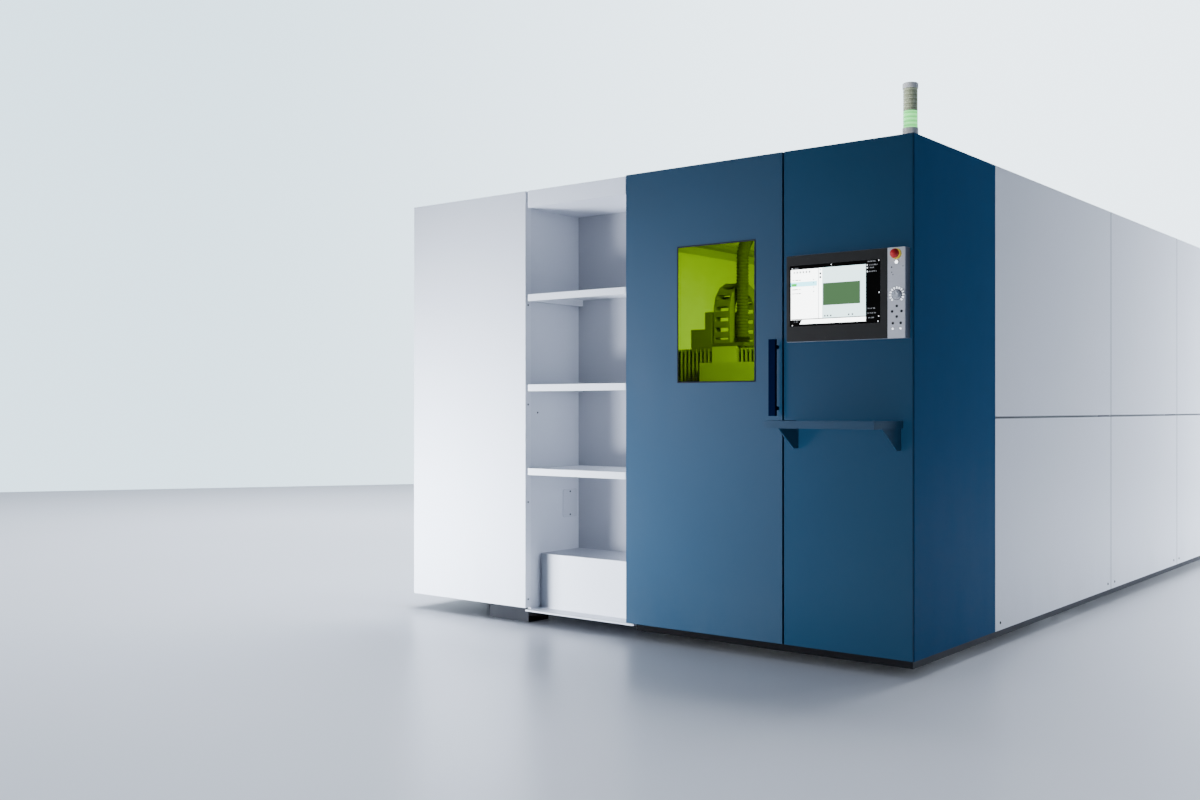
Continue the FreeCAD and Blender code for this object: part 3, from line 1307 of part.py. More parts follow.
def cutting_head():
    """The cutting head: slide block, round barrel and nozzle."""
    y = SPINE_Y - d.slide_gap
    block_at = (d.head_x - d.slide_block_width / 2, y - d.slide_block_depth, d.slide_block_bottom)
    size = (d.slide_block_width, d.slide_block_depth, d.slide_block_height)
    slide = block("head_slide", block_at, size)
    axis_y = y - d.slide_block_depth / 2
    half = d.nozzle_height / 2
    neck, radius = d.nozzle_neck_radius, d.head_barrel_radius
    nozzle = taper("head_nozzle", (d.head_x, axis_y, d.head_tip), d.nozzle_radius, neck, half)
    cone_at = (d.head_x, axis_y, d.head_tip + half)
    cone = taper("head_cone", cone_at, neck, radius, half)
    barrel_z = d.head_tip + d.nozzle_height
    barrel_at = (d.head_x, axis_y, barrel_z)
    barrel = rod("head_barrel", barrel_at, radius, d.slide_block_bottom - barrel_z)
    node("cutting_head", fused("cutting_head", slide, barrel, cone, nozzle))


# ---------------------------------------------------------------- pallet

PALLET_Y = FRONT + d.pallet_from_front
RUNNER_Z = d.track_top + d.slide_gap
MEMBER_Z = RUNNER_Z + d.runner_height
LEDGE_TOP = MEMBER_Z + d.ledge_height


def pallet_frame():
    """Side members with ledges for the slats, cross members and the runners below."""
    length = d.pallet_length
    left, right = -d.pallet_left, d.pallet_right
    parts = []
    outlines = {
        "left": (left, [
            (0, 0), (d.member_width + d.ledge_width, 0),
            (d.member_width + d.ledge_width, d.ledge_height), (d.member_width, d.ledge_height),
            (d.member_width, d.member_height), (0, d.member_height),
        ]),
        "right": (right - d.member_width, [
            (0, 0), (d.member_width, 0), (d.member_width, d.member_height),
            (0, d.member_height), (0, d.ledge_height), (-d.ledge_width, d.ledge_height),
            (-d.ledge_width, 0),
        ]),
    }
    for side, (x, outline) in outlines.items():
        member = body(f"pallet_member_{side}", (x, PALLET_Y, MEMBER_Z))
        pad(member, draw(member, "XZ_Plane", outline), length, backwards=True)
        parts.append(member)
    inner = left + d.member_width
    width = right - d.member_width - inner
    for name, y in (("front", PALLET_Y), ("rear", PALLET_Y + length - d.member_width)):
        size = (width, d.member_width, d.member_height)
        end_bar = block(f"pallet_end_{name}", (inner, y, MEMBER_Z), size)
        parts.append(end_bar)
    for name, x in (("left", TRACK_LEFT), ("right", TRACK_RIGHT)):
        at = (x, PALLET_Y, RUNNER_Z)
        parts.append(block(f"pallet_runner_{name}", at, (d.track_width, length, d.runner_height)))
    node("pallet_frame", fused("pallet_frame", *parts))


def support_slats():
    """Toothed slats that carry the sheet, in a row along the pallet."""
    inner = -d.pallet_left + d.member_width
    length = d.pallet_right - d.member_width - inner - d.slat_play
    teeth = int(d.tooth_count.value)
    valley = d.slat_height - d.tooth_depth
    outline = [(0, 0), (length, 0), (length, valley)]
    for index in range(teeth, 0, -1):
        outline.append((length * ((index - 0.5) / teeth), d.slat_height))
        outline.append((length * ((index - 1) / teeth), valley))
    slat = body("support_slat", (inner + d.slat_play / 2, 0, LEDGE_TOP))
    pad(slat, draw(slat, "XZ_Plane", outline), d.slat_thickness, backwards=True)
    start = PALLET_Y.value + d.slat_margin.value
    row = d.pallet_length.value - 2 * d.slat_margin.value
    count = int(row / d.slat_pitch.value + 0.001) + 1
    spots = [(0, start + n * d.slat_pitch.value, 0) for n in range(count)]
    node("support_slats", copies("support_slats", slat, spots))


# ---------------------------------------------------------------- assembly

machine_bed()
levelling_feet()
gantry_rails()
enclosure_frame()
door_frame()
chamber_liner()
chamber_lamps()
roof()
corner_cover()
side_panels()
rear_wall()
cabinet_front()
alcove_liner()
shelves()
alcove_header()
alcove_step()
service_cover()
cover_screws()
door_leaf()
hinge_pintles()
window()
door_handle()
terminal()
control_plate()
stop_control()
dial()
push_buttons()
tray()
beacon()
gantry_beam()
pleated("bellows_left", CHEEK_LEFT + d.cheek_thickness, d.spine_left)
pleated("bellows_right", d.spine_left + d.spine_width, CHEEK_RIGHT)
carriage_body()
carriage_guard()
energy_chain()
supply_hose()
cutting_head()
pallet_frame()
support_slats()
doc.recompute()

for thing in doc.Objects:
    if "Invalid" in thing.State or "Error" in thing.State:
        raise ValueError(f"{thing.Label} did not build: {thing.State}")
for name, thing in nodes.items():
    if thing.Shape.isNull() or not thing.Shape.isValid():
        raise ValueError(f"{name} is not a valid solid")

os.makedirs("parts", exist_ok=True)
for name, thing in nodes.items():
    thing.Shape.exportStep(f"parts/{name}.step")
print(len(nodes), "nodes")
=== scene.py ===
"""Looks of a fiber laser cutting machine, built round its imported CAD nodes.

Lengths are in metres in the machine's own frame: X runs along the front to the right,
Y from the front to the rear, and Z up from the floor.
"""

import math

import bmesh
import bpy
import numpy as np
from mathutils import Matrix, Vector


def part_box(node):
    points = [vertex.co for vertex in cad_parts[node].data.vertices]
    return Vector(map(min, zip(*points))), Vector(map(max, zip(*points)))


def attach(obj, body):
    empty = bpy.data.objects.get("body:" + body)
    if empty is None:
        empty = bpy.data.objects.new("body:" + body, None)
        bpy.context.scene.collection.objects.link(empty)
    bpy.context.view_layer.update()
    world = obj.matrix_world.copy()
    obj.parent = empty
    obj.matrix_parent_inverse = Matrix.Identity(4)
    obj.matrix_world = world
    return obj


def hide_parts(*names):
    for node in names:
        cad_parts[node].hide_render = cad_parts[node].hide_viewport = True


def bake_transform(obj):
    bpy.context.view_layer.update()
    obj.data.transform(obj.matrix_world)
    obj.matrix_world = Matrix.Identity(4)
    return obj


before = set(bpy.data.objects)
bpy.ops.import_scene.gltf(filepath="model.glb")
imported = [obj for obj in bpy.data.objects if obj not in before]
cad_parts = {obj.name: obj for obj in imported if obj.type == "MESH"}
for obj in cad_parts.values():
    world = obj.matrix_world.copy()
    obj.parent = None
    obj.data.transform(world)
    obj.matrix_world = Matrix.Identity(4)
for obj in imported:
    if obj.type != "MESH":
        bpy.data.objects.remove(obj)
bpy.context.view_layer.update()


# ---------------------------------------------------------------- shader nodes


class Value:
    """A socket of a finish. An expression on it adds the Math nodes that work it out."""

    def __init__(self, finish, socket):
        self.finish = finish
        self.socket = socket

    def maths(self, operation, first, second):
        """One Math node on two values or numbers."""
        inputs = {0: first, 1: second}
        return self.finish.node("Math", {"operation": operation}, inputs)

    def __add__(self, other):
        return self.maths("ADD", self, other)

    def __sub__(self, other):
        return self.maths("SUBTRACT", self, other)

    def __rsub__(self, other):
        return self.maths("SUBTRACT", other, self)

    def __mul__(self, other):
        return self.maths("MULTIPLY", self, other)

    def __truediv__(self, other):
        return self.maths("DIVIDE", self, other)

    def __gt__(self, other):
        return self.maths("GREATER_THAN", self, other)

    def __lt__(self, other):
        return self.maths("LESS_THAN", self, other)

    def __or__(self, other):
        return self.maths("MAXIMUM", self, other)

    def __and__(self, other):
        return self.maths("MINIMUM", self, other)

    def __pow__(self, other):
        return self.maths("POWER", self, other)

    def __mod__(self, other):
        return self.maths("FLOORED_MODULO", self, other)

    def __abs__(self):
        return self.maths("ABSOLUTE", self, 0.0)

    __radd__ = __add__
    __rmul__ = __mul__


class Finish:
    """One material: its Principled shader and the nodes that feed it."""

    def __init__(self, name):
        self.material = bpy.data.materials.new(name)
        self.material.use_nodes = True
        self.tree = self.material.node_tree
        self.shader = self.tree.nodes["Principled BSDF"]
        self.place = self.node("TexCoord", output="Object")
        self.x, self.y, self.z = (
            self.node("SeparateXYZ", {}, {"Vector": self.place}, axis) for axis in "XYZ"
        )

    def feed(self, socket, given):
        """Links a value into a socket, or sets the socket to a number or colour."""
        if isinstance(given, Value):
            self.tree.links.new(given.socket, socket)
        elif isinstance(given, tuple) and socket.type == "RGBA":
            socket.default_value = (*given[:3], 1.0)
        else:
            socket.default_value = given

    def node(self, kind, settings=None, sockets=None, output=0):
        """One node: its settings first, then the values or links of its sockets."""
        made = self.tree.nodes.new("ShaderNode" + kind)
        for key, setting in (settings or {}).items():
            setattr(made, key, setting)
        by_name = {s.name: s for s in reversed(made.inputs)}
        by_name.update({s.identifier: s for s in made.inputs})
        for key, given in (sockets or {}).items():
            self.feed(made.inputs[key] if isinstance(key, int) else by_name[key], given)
        out = {s.identifier: s for s in made.outputs}
        return Value(self, made.outputs[output] if isinstance(output, int) else out[output])

    def noise(self, scale, detail=2.0, stretch=(1.0, 1.0, 1.0), roughness=0.5):
        """Cloudy noise from 0 to 1, in blotches 1/scale metres wide along each axis."""
        if stretch == (1.0, 1.0, 1.0):
            place = self.place
        else:
            place = self.node("Mapping", {}, {"Vector": self.place, "Scale": stretch})
        inputs = {"Vector": place, "Scale": scale, "Detail": detail, "Roughness": roughness}
        return self.node("TexNoise", {}, inputs)

    def ramp(self, value, low, high, floor=0.0, top=1.0):
        """Carries a value between low and high smoothly from floor to top."""
        inputs = {0: value, 1: low, 2: high, 3: floor, 4: top}
        return self.node("MapRange", {"interpolation_type": "SMOOTHSTEP"}, inputs)

    def blend(self, mask, under, over):
        """The under colour, and the over colour where the mask is 1."""
        inputs = {"Factor_Float": mask, "A_Color": under, "B_Color": over}
        return self.node("Mix", {"data_type": "RGBA"}, inputs, "Result_Color")

    def bump(self, height, depth, under=None):
        """The normal of a relief whose height of 1 stands depth metres proud."""
        inputs = {"Height": height, "Distance": depth}
        if under is not None:
            inputs["Normal"] = under
        return self.node("Bump", {}, inputs)

    def rounded(self, radius):
        """The normal of edges softened to a small radius."""
        return self.node("Bevel", {"samples": 4}, {"Radius": radius})

    def edge_wear_and_highlight(self, soft):
        """1 on the very edges, where the softened normal leaves the true one."""
        true = self.node("NewGeometry", output="Normal")
        inputs = {0: soft, 1: true}
        facing = self.node("VectorMath", {"operation": "DOT_PRODUCT"}, inputs, "Value")
        return self.ramp(facing, 1.0, 0.9)

    def box(self, across, up, centre, size):
        """1 inside an upright rectangle of the two coordinates given."""
        (cx, cy), (w, h) = centre, size
        return (abs(across - cx) < w / 2) & (abs(up - cy) < h / 2)

    def dot(self, across, up, centre, radius):
        """1 inside a circle of the two coordinates given."""
        a, b = across - centre[0], up - centre[1]
        return (a * a + b * b) < radius * radius

    def surface(self, **sockets):
        """Sets the shader's own sockets, named with underscores for spaces."""
        for key, given in sockets.items():
            self.feed(self.shader.inputs[key.replace("_", " ")], given)
        return self.material


def tint(colour, factor):
    """A colour made darker or lighter by a factor."""
    return tuple(min(1.0, c * factor) for c in colour)


# -------------------------------------------------------------------- finishes

# Places on the machine that the finishes are drawn round, in metres.
FRONT_PLANE = -2.664  # only the blue front stands ahead of it
FLANK_PLANE = 1.5245  # only the right side stands beyond it
ALCOVE_BACK = -2.2055
CONTROL_X = 1.473  # the middle line of the control plate
STOP_Z, POWER_Z, DIAL_Z = 1.7755, 1.7415, 1.606
PLATE_FRONT, POWER_FRONT = -2.7085, -2.7185  # what stands ahead is printed, or lit

# How far paint and metal stand proud and are rounded, in metres.
PEEL_DEPTH = 0.00012
SHEET_EDGE, METAL_EDGE = 0.0015, 0.0008
SCREW_RADIUS = 0.0075

BLACK = (0.0, 0.0, 0.0)
DUST, SEAM_DARK = (0.33, 0.32, 0.3), (0.17, 0.18, 0.20)


def powder_coat(name, colour, rough=0.4, spread=0.06, edge=1.25, dust=0.0,
                gloss=0.5, sheen=0.0, painted_side_tone=None, seams=(), fades=()):
    """Baked powder paint: fine orange peel, slow drift of tone, edges lightened as rubbed wear and
    as a painted highlight, or darkened as painted shade by an edge factor under 1.

    Each seam is an axis letter and a place between two covers along which the paint is darkened in
    a narrow band.
    The sheen is a clear coat on the side that faces the front; the painted_side_tone is the
    tone of the side that faces right, painted light for how light falls there. Each entry of
    fades is an axis letter, where it starts and is full, its share and its tone: painted shade.
    """
    f = Finish(name)
    drift, peel = f.noise(0.9, 3.0), f.noise(380.0, 2.0)
    speck = f.noise(1500.0, 1.0)
    smear = f.noise(5.0, 5.0, (1.0, 1.0, 0.35), 0.65)
    soft = f.rounded(SHEET_EDGE)
    tone = f.blend(f.ramp(drift, 0.3, 0.7), tint(colour, 1 - spread), tint(colour, 1 + spread))
    # painted light: the side that faces right gets a tone of its own for how light falls on it
    if painted_side_tone:
        tone = f.blend(f.x > FLANK_PLANE, tone, painted_side_tone)
    tone = f.blend(f.ramp(speck, 0.62, 0.8, 0.0, 0.12), tone, tint(colour, 1.35))
    # edges tinted by the edge factor: lighter as rubbed wear and as a painted highlight on folds;
    # a factor under 1 darkens them as painted shade along a joint
    tone = f.blend(f.edge_wear_and_highlight(soft) * 0.5, tone, tint(colour, edge))
    if dust:
        low = f.ramp(f.z, 0.45, 0.05, 0.0, dust) * f.ramp(smear, 0.25, 0.75)
        tone = f.blend(low, tone, DUST)
    along = {"x": f.x, "y": f.y, "z": f.z}
    # painted shade: each entry darkens the tone towards a shade tone along one axis
    for axis, start, full, share, deep in fades:
        tone = f.blend(f.ramp(along[axis], start, full, 0.0, share), tone, deep)
    # a narrow band darkened along each seam between two covers
    for axis, place in seams:
        away = abs(along[axis] - place)
        tone = f.blend(f.ramp(away, 0.0075, 0.0045, 0.0, 0.85), tone, SEAM_DARK)
    return f.surface(
        Base_Color=tone,
        Roughness=rough + (smear - 0.5) * 0.14 + (peel - 0.5) * 0.05,
        Specular_IOR_Level=gloss,
        Coat_Weight=(f.y < FRONT_PLANE) * sheen,
        Coat_Roughness=0.3,
        Normal=f.bump(peel, PEEL_DEPTH, soft),
    )


def white_coat(name, colour=(0.78, 0.795, 0.84), dust=0.0, **marks):
    """The white powder paint of the covers; a colour given makes a lighter copy of it, as painted
    light on that part.
    """
    return powder_coat(name, colour, 0.38, 0.012, 1.06, dust, **marks)


def ground_steel(name, colour, rough=0.32, stretch=(1.0, 60.0, 60.0), scorch=0.0, metal=1.0):
    """Bare metal with fine grinding lines along one way, dulled in cloudy patches."""
    f = Finish(name)
    lines, cloud = f.noise(14.0, 4.0, stretch, 0.7), f.noise(7.0, 4.0)
    soft = f.rounded(METAL_EDGE)
    tone = f.blend(f.ramp(lines, 0.25, 0.75), tint(colour, 0.82), tint(colour, 1.12))
    tone = f.blend(f.edge_wear_and_highlight(soft) * 0.6, tone, tint(colour, 1.3))
    if scorch:
        burnt = f.ramp(f.noise(38.0, 4.0), 0.45, 0.7, 0.0, scorch)
        tone = f.blend(burnt, tone, (0.09, 0.065, 0.05))
    return f.surface(
        Base_Color=tone,
        Metallic=metal - f.ramp(cloud, 0.6, 0.85, 0.0, 0.35 * metal),
        Roughness=rough + (lines - 0.5) * 0.16 + f.ramp(cloud, 0.4, 0.8, 0.0, 0.12),
        Normal=f.bump(lines, 0.00006, soft),
    )


def moulded(name, colour, rough=0.5, grain=900.0, relief=0.00008, spread=0.08):
    """Moulded plastic or rubber: fine spark grain, handling shine and light scuffs."""
    f = Finish(name)
    grains, cloud = f.noise(grain, 2.0), f.noise(18.0, 4.0, roughness=0.6)
    scuff = f.noise(60.0, 3.0, (1.0, 9.0, 1.0))
    soft = f.rounded(METAL_EDGE)
    tone = f.blend(f.ramp(cloud, 0.3, 0.7), tint(colour, 1 - spread), tint(colour, 1 + spread))
    pale = tuple(c + (0.45 - c) * 0.25 for c in colour)
    tone = f.blend(f.ramp(scuff, 0.68, 0.8, 0.0, 0.25), tone, pale)
    tone = f.blend(f.edge_wear_and_highlight(soft) * 0.3, tone, pale)
    return f.surface(
        Base_Color=tone,
        Roughness=rough + (cloud - 0.5) * 0.2 + (grains - 0.5) * 0.08,
        Normal=f.bump(grains, relief, soft),
    )


def tinted_pane():
    """Laser safety pane: clear lime acrylic with faint wiping haze."""
    f = Finish("tinted_pane")
    haze = f.noise(9.0, 5.0, (1.0, 1.0, 0.3), 0.65)
    ripple = f.noise(3.0, 2.0)
    tone = f.blend(f.ramp(haze, 0.35, 0.8), (0.345, 0.68, 0.0), (0.37, 0.70, 0.001))
    return f.surface(
        Base_Color=tone,
        Roughness=f.ramp(haze, 0.5, 0.85, 0.01, 0.045),
        Transmission_Weight=1.0,
        IOR=1.08,
        Normal=f.bump(ripple, 0.0004),
    )


def lamp_diffuser():
    """Frosted lamp cover, lit behind, darker over its ribs."""
    f = Finish("lamp_diffuser")
    ribs = abs((f.y * 125.0) % 1.0 - 0.5)
    glow = f.blend(f.ramp(ribs, 0.05, 0.3), (0.13, 0.14, 0.14), (0.17, 0.18, 0.18))
    grain = f.noise(700.0)
    return f.surface(
        Base_Color=glow,
        Roughness=0.5 + (grain - 0.5) * 0.2,
        Emission_Color=glow,
        Emission_Strength=0.05,
        Normal=f.bump(ribs, 0.0006),
    )


def control_screen():
    """Lit screen with plain fields: a list, a work area with one sheet, dark side bar.

    u and v run over the screen from 0 to 1, and every place and size is a share of its
    width or height. Each mark is laid over the tone so far.
    """
    f = Finish("control_screen")
    left, right, low, high = 0.9665, 1.3995, 1.493, 1.760
    shape = 1.62  # width over height
    u, v = (f.x - left) / (right - left), (f.z - low) / (high - low)
    tone = f.blend(f.box(u, v, (0.5, 0.5), (1.0, 1.0)), BLACK, (0.0003, 0.0003, 0.0003))

    def field(centre, size, colour):
        """A plain rectangle."""
        return f.blend(f.box(u, v, centre, size), tone, colour)

    def words(centre, size, colour):
        """A box of uneven grains, as small print looks from a few steps away."""
        return f.blend(f.box(u, v, centre, size) * print_grain, tone, colour)

    def spots(places, radius, colour):
        """Round spots, their radius a share of the screen's height."""
        every = None
        for at, up in places:
            a, b = (u - at) * shape, v - up
            one = (a * a + b * b) < radius * radius
            every = one if every is None else every | one
        return f.blend(every, tone, colour)

    white, pale, grey = (0.95, 1.0, 1.0), (0.33, 0.45, 0.46), (0.03, 0.03, 0.033)
    lamp, faint = (0.26, 0.28, 0.30), (0.04, 0.042, 0.046)
    print_grain = f.ramp(f.noise(260.0, 0.0), 0.42, 0.5)

    # the list at the left, with its chosen row, its tool row and its side marks
    tone = field((0.190, 0.518), (0.356, 0.826), white)
    tone = field((0.160, 0.689), (0.296, 0.076), (0.18, 0.56, 0.66))
    tone = field((0.0475, 0.681), (0.061, 0.045), (0.006, 0.20, 0.018))
    for up in (0.757, 0.606, 0.538):
        tone = words((0.075, up), (0.10, 0.016), grey)
    tools = abs(((u + 0.0055) * 28.2) % 1.0 - 0.5) < 0.2
    tools = tools & f.box(u, v, (0.147, 0.885), (0.206, 0.034))
    tone = f.blend(tools, tone, (0.012, 0.015, 0.02))
    tone = spots([(0.2705, up) for up in (0.752, 0.700, 0.63, 0.56)], 0.009, grey)
    tone = field((0.3255, 0.518), (0.006, 0.826), (0.16, 0.18, 0.20))

    # the work area with one sheet, and its round marks
    tone = field((0.605, 0.526), (0.476, 0.818), pale)
    tone = field((0.579, 0.503), (0.409, 0.359), (0.009, 0.020, 0.010))
    tone = field((0.578, 0.504), (0.402, 0.352), (0.0152, 0.0335, 0.0150))
    tone = spots([(0.3465, 0.844), (0.3465, 0.784)], 0.019, (0.004, 0.005, 0.006))
    tone = spots([(0.3465, 0.904)], 0.014, (0.06, 0.40, 0.50))
    tone = spots([(0.397, 0.153), (0.428, 0.153), (0.463, 0.153), (0.66, 0.156), (0.70, 0.157)],
                 0.015, grey)

    # the foot bar, whose left end is cut off aslant
    foot_bar = f.box(u, v, (0.477, 0.0745), (0.732, 0.077)) * (u > 0.099 + v * 0.38)
    tone = f.blend(foot_bar, tone, white)
    tone = field((0.43, 0.114), (0.826, 0.015), (0.008, 0.009, 0.010))

    # the dark bar at the right and the corners
    tone = spots([(0.858, 0.92), (0.858, 0.876), (0.86, 0.817)], 0.011, lamp)
    for at, up, wide in ((0.905, 0.976, 0.09), (0.924, 0.92, 0.09), (0.905, 0.876, 0.05),
                         (0.918, 0.817, 0.08), (0.90, 0.234, 0.09), (0.905, 0.16, 0.09),
                         (0.90, 0.087, 0.06), (0.075, 0.953, 0.045), (0.07, 0.075, 0.045)):
        tone = words((at, up), (wide, 0.018), faint)
    tone = spots([(0.98, 0.982), (0.468, 0.975), (0.985, 0.478), (0.973, 0.025), (0.98, 0.105),
                  (0.027, 0.953), (0.027, 0.018)], 0.009, lamp)

    grain, smear = f.noise(2200.0), f.noise(24.0, 4.0, (1.0, 1.0, 0.5))
    glass = f.blend(f.ramp(smear, 0.3, 0.8), (0.0004, 0.0004, 0.0004), (0.001, 0.001, 0.001))
    return f.surface(
        Base_Color=glass,
        Emission_Color=tone,
        Emission_Strength=7.6,
        Specular_IOR_Level=0.06,
        Roughness=f.ramp(smear, 0.4, 0.8, 0.08, 0.2),
        Normal=f.bump(grain, 0.00001),
    )


def brushed_plate():
    """Brushed control plate with a printed ring of ticks and small printed dots; the white print
    glows a little as a painted highlight.
    """
    f = Finish("brushed_plate")
    lines = f.noise(26.0, 4.0, (1.0, 1.0, 40.0), 0.7)
    tone = f.blend(f.ramp(lines, 0.2, 0.8), (0.56, 0.55, 0.57), (0.66, 0.65, 0.67))
    front = f.y < PLATE_FRONT
    a, b = f.x - CONTROL_X, f.z - DIAL_Z
    far = (a * a + b * b) ** 0.5
    ticks = 16
    turn = f.node("Math", {"operation": "ARCTAN2"}, {0: a, 1: b}) * (ticks / (2 * math.pi))
    printed = (abs((turn + 0.5) % 1.0 - 0.5) < 0.19) & (abs(far - 0.0290) < 0.0042)
    open_foot = (b < -0.018) & (abs(a) < 0.018)
    printed = printed & (1.0 - open_foot)
    for centre in ((1.4548, 1.465), (1.4896, 1.465)):
        printed = printed | f.dot(f.x, f.z, centre, 0.0040)
    tone = f.blend(printed & front, tone, (0.95, 0.95, 0.95))
    dark = f.dot(f.x, f.z, (1.4503, 1.7215), 0.0035)
    for centre in ((1.5007, 1.7235), (1.4503, 1.700), (1.4560, 1.690)):
        dark = dark | f.dot(f.x, f.z, centre, 0.0024)
    ring = abs(far - 0.0215) < 0.0010
    tone = f.blend((dark | ring) & front, tone, (0.06, 0.06, 0.07))
    joint = f.x < 1.4322
    tone = f.blend(joint, tone, (0.014, 0.015, 0.014))
    soft = f.rounded(0.0006)
    return f.surface(
        Base_Color=tone,
        Metallic=0.2 - (printed | dark | joint) * 0.2,
        Roughness=0.34 + (lines - 0.5) * 0.2,
        # painted highlight: the white print glows though it is only ink
        Emission_Color=f.blend(printed & front, BLACK, (0.9, 0.95, 1.0)),
        Emission_Strength=2.4,
        Normal=f.bump(lines, 0.00003, soft),
    )


def beacon_lens_glass():
    """Ribbed beacon lenses: the lower one lit pale green, the upper one grey olive, both in bands
    lighter at their edges and darker in their middles as painted light and shade of the ribs.
    """
    f = Finish("beacon_lens_glass")
    foot, parting = 2.325, 2.399
    lit = f.z < parting
    bands = abs(((f.z - foot) * 55.0) % 1.0 - 0.5)
    # painted light and shade: each band is darker in its middle, lighter at its edges
    core = f.ramp(bands, 0.0, 0.5)
    green = f.blend(core, (0.09, 0.50, 0.12), (0.20, 0.78, 0.24))
    olive = f.blend(core, (0.38, 0.42, 0.26), (0.52, 0.56, 0.37))
    tone = f.blend(lit, olive, green)
    seam = abs(f.z - parting) < 0.0016
    tone = f.blend(seam, tone, (0.12, 0.14, 0.1))
    return f.surface(
        Base_Color=tone,
        Roughness=0.2 + core * 0.12,
        Coat_Weight=0.6,
        Emission_Color=f.blend(lit & (1.0 - seam), BLACK, green),
        Emission_Strength=2.0,
        Normal=f.bump(f.noise(300.0), 0.00005),
    )


def lit_ring():
    """Polished switch whose face carries a lit white ring."""
    f = Finish("lit_ring")
    a, b = f.x - CONTROL_X, f.z - POWER_Z
    far = (a * a + b * b) ** 0.5
    ring = (abs(far - 0.0040) < 0.0034) & (f.y < POWER_FRONT)
    lines = f.noise(90.0, 3.0, (1.0, 1.0, 8.0))
    return f.surface(
        Base_Color=f.blend(ring, (0.68, 0.7, 0.72), (0.95, 0.98, 1.0)),
        Metallic=0.9 - ring * 0.9,
        Roughness=0.2 + lines * 0.12,
        Emission_Color=f.blend(ring, BLACK, (0.9, 0.97, 1.0)),
        Emission_Strength=4.0,
        Normal=f.bump(lines, 0.00002),
    )


def bellows_cloth():
    """Coated cloth of the bellows: fine weave, darker at the bottom of each fold, partly as
    settled dirt and partly as painted shade.
    """
    f = Finish("bellows_cloth")
    weave = abs((f.x * 700.0) % 1.0 - 0.5) + abs((f.z * 700.0) % 1.0 - 0.5)
    cloud = f.noise(16.0, 4.0)
    fold = f.node("Attribute", {"attribute_name": "fold"}, output="Fac")
    tone = f.blend(f.ramp(cloud, 0.35, 0.75), (0.19, 0.20, 0.205), (0.26, 0.27, 0.275))
    # darker at the bottom of each fold: settled dirt and painted shade in the creases
    tone = f.blend(f.ramp(fold, 0.25, 0.9), tone, (0.06, 0.064, 0.066))
    return f.surface(
        Base_Color=tone,
        Roughness=0.6 + (cloud - 0.5) * 0.2,
        Normal=f.bump(weave, 0.00012),
    )


def alcove_coat():
    """White powder paint of the alcove, darker than the covers' white and greyer still on its back
    sheet, both as painted shade.
    """
    f = Finish("alcove_powder_coat")
    # painted shade: the alcove's white is a darker copy of the covers' white
    colour = (0.70, 0.715, 0.765)
    drift, peel, smear = f.noise(1.4, 3.0), f.noise(380.0, 2.0), f.noise(6.0, 5.0)
    soft = f.rounded(SHEET_EDGE)
    tone = f.blend(f.ramp(drift, 0.3, 0.7), tint(colour, 0.985), tint(colour, 1.015))
    # edges lighter: rubbed wear and a painted highlight
    tone = f.blend(f.edge_wear_and_highlight(soft) * 0.5, tone, tint(colour, 1.4))
    # painted shade: the back sheet, deep in the alcove, is made greyer
    tone = f.blend(f.y > ALCOVE_BACK, tone, (0.44, 0.445, 0.485))
    scuff = f.ramp(smear, 0.5, 0.8, 0.0, 0.06) * f.ramp(f.z, 0.7, 0.1)
    tone = f.blend(scuff, tone, (0.30, 0.30, 0.29))
    return f.surface(
        Base_Color=tone,
        Roughness=0.4 + (smear - 0.5) * 0.14 + (peel - 0.5) * 0.05,
        Normal=f.bump(peel, PEEL_DEPTH, soft),
    )


def carriage_coat():
    """Light paint on the carriage's covers, dark oil-blacked saddle plate and grey motor."""
    f = Finish("carriage_coat")
    saddle_foot, saddle_top = 1.4795, 1.5005
    drift, peel, smear = f.noise(4.0, 3.0), f.noise(380.0, 2.0), f.noise(9.0, 5.0)
    soft = f.rounded(SHEET_EDGE)
    tone = f.blend(f.ramp(drift, 0.3, 0.7), (0.46, 0.48, 0.50), (0.50, 0.52, 0.54))
    tone = f.blend(f.z > saddle_foot, tone, (0.10, 0.105, 0.11))
    tone = f.blend(f.z > saddle_top, tone, (0.26, 0.27, 0.28))
    tone = f.blend(f.edge_wear_and_highlight(soft) * 0.4, tone, (0.55, 0.57, 0.58))
    tone = f.blend(f.ramp(smear, 0.5, 0.8, 0.0, 0.15), tone, (0.10, 0.09, 0.08))
    return f.surface(
        Base_Color=tone,
        Roughness=0.4 + (smear - 0.5) * 0.2,
        Normal=f.bump(peel, PEEL_DEPTH, soft),
    )


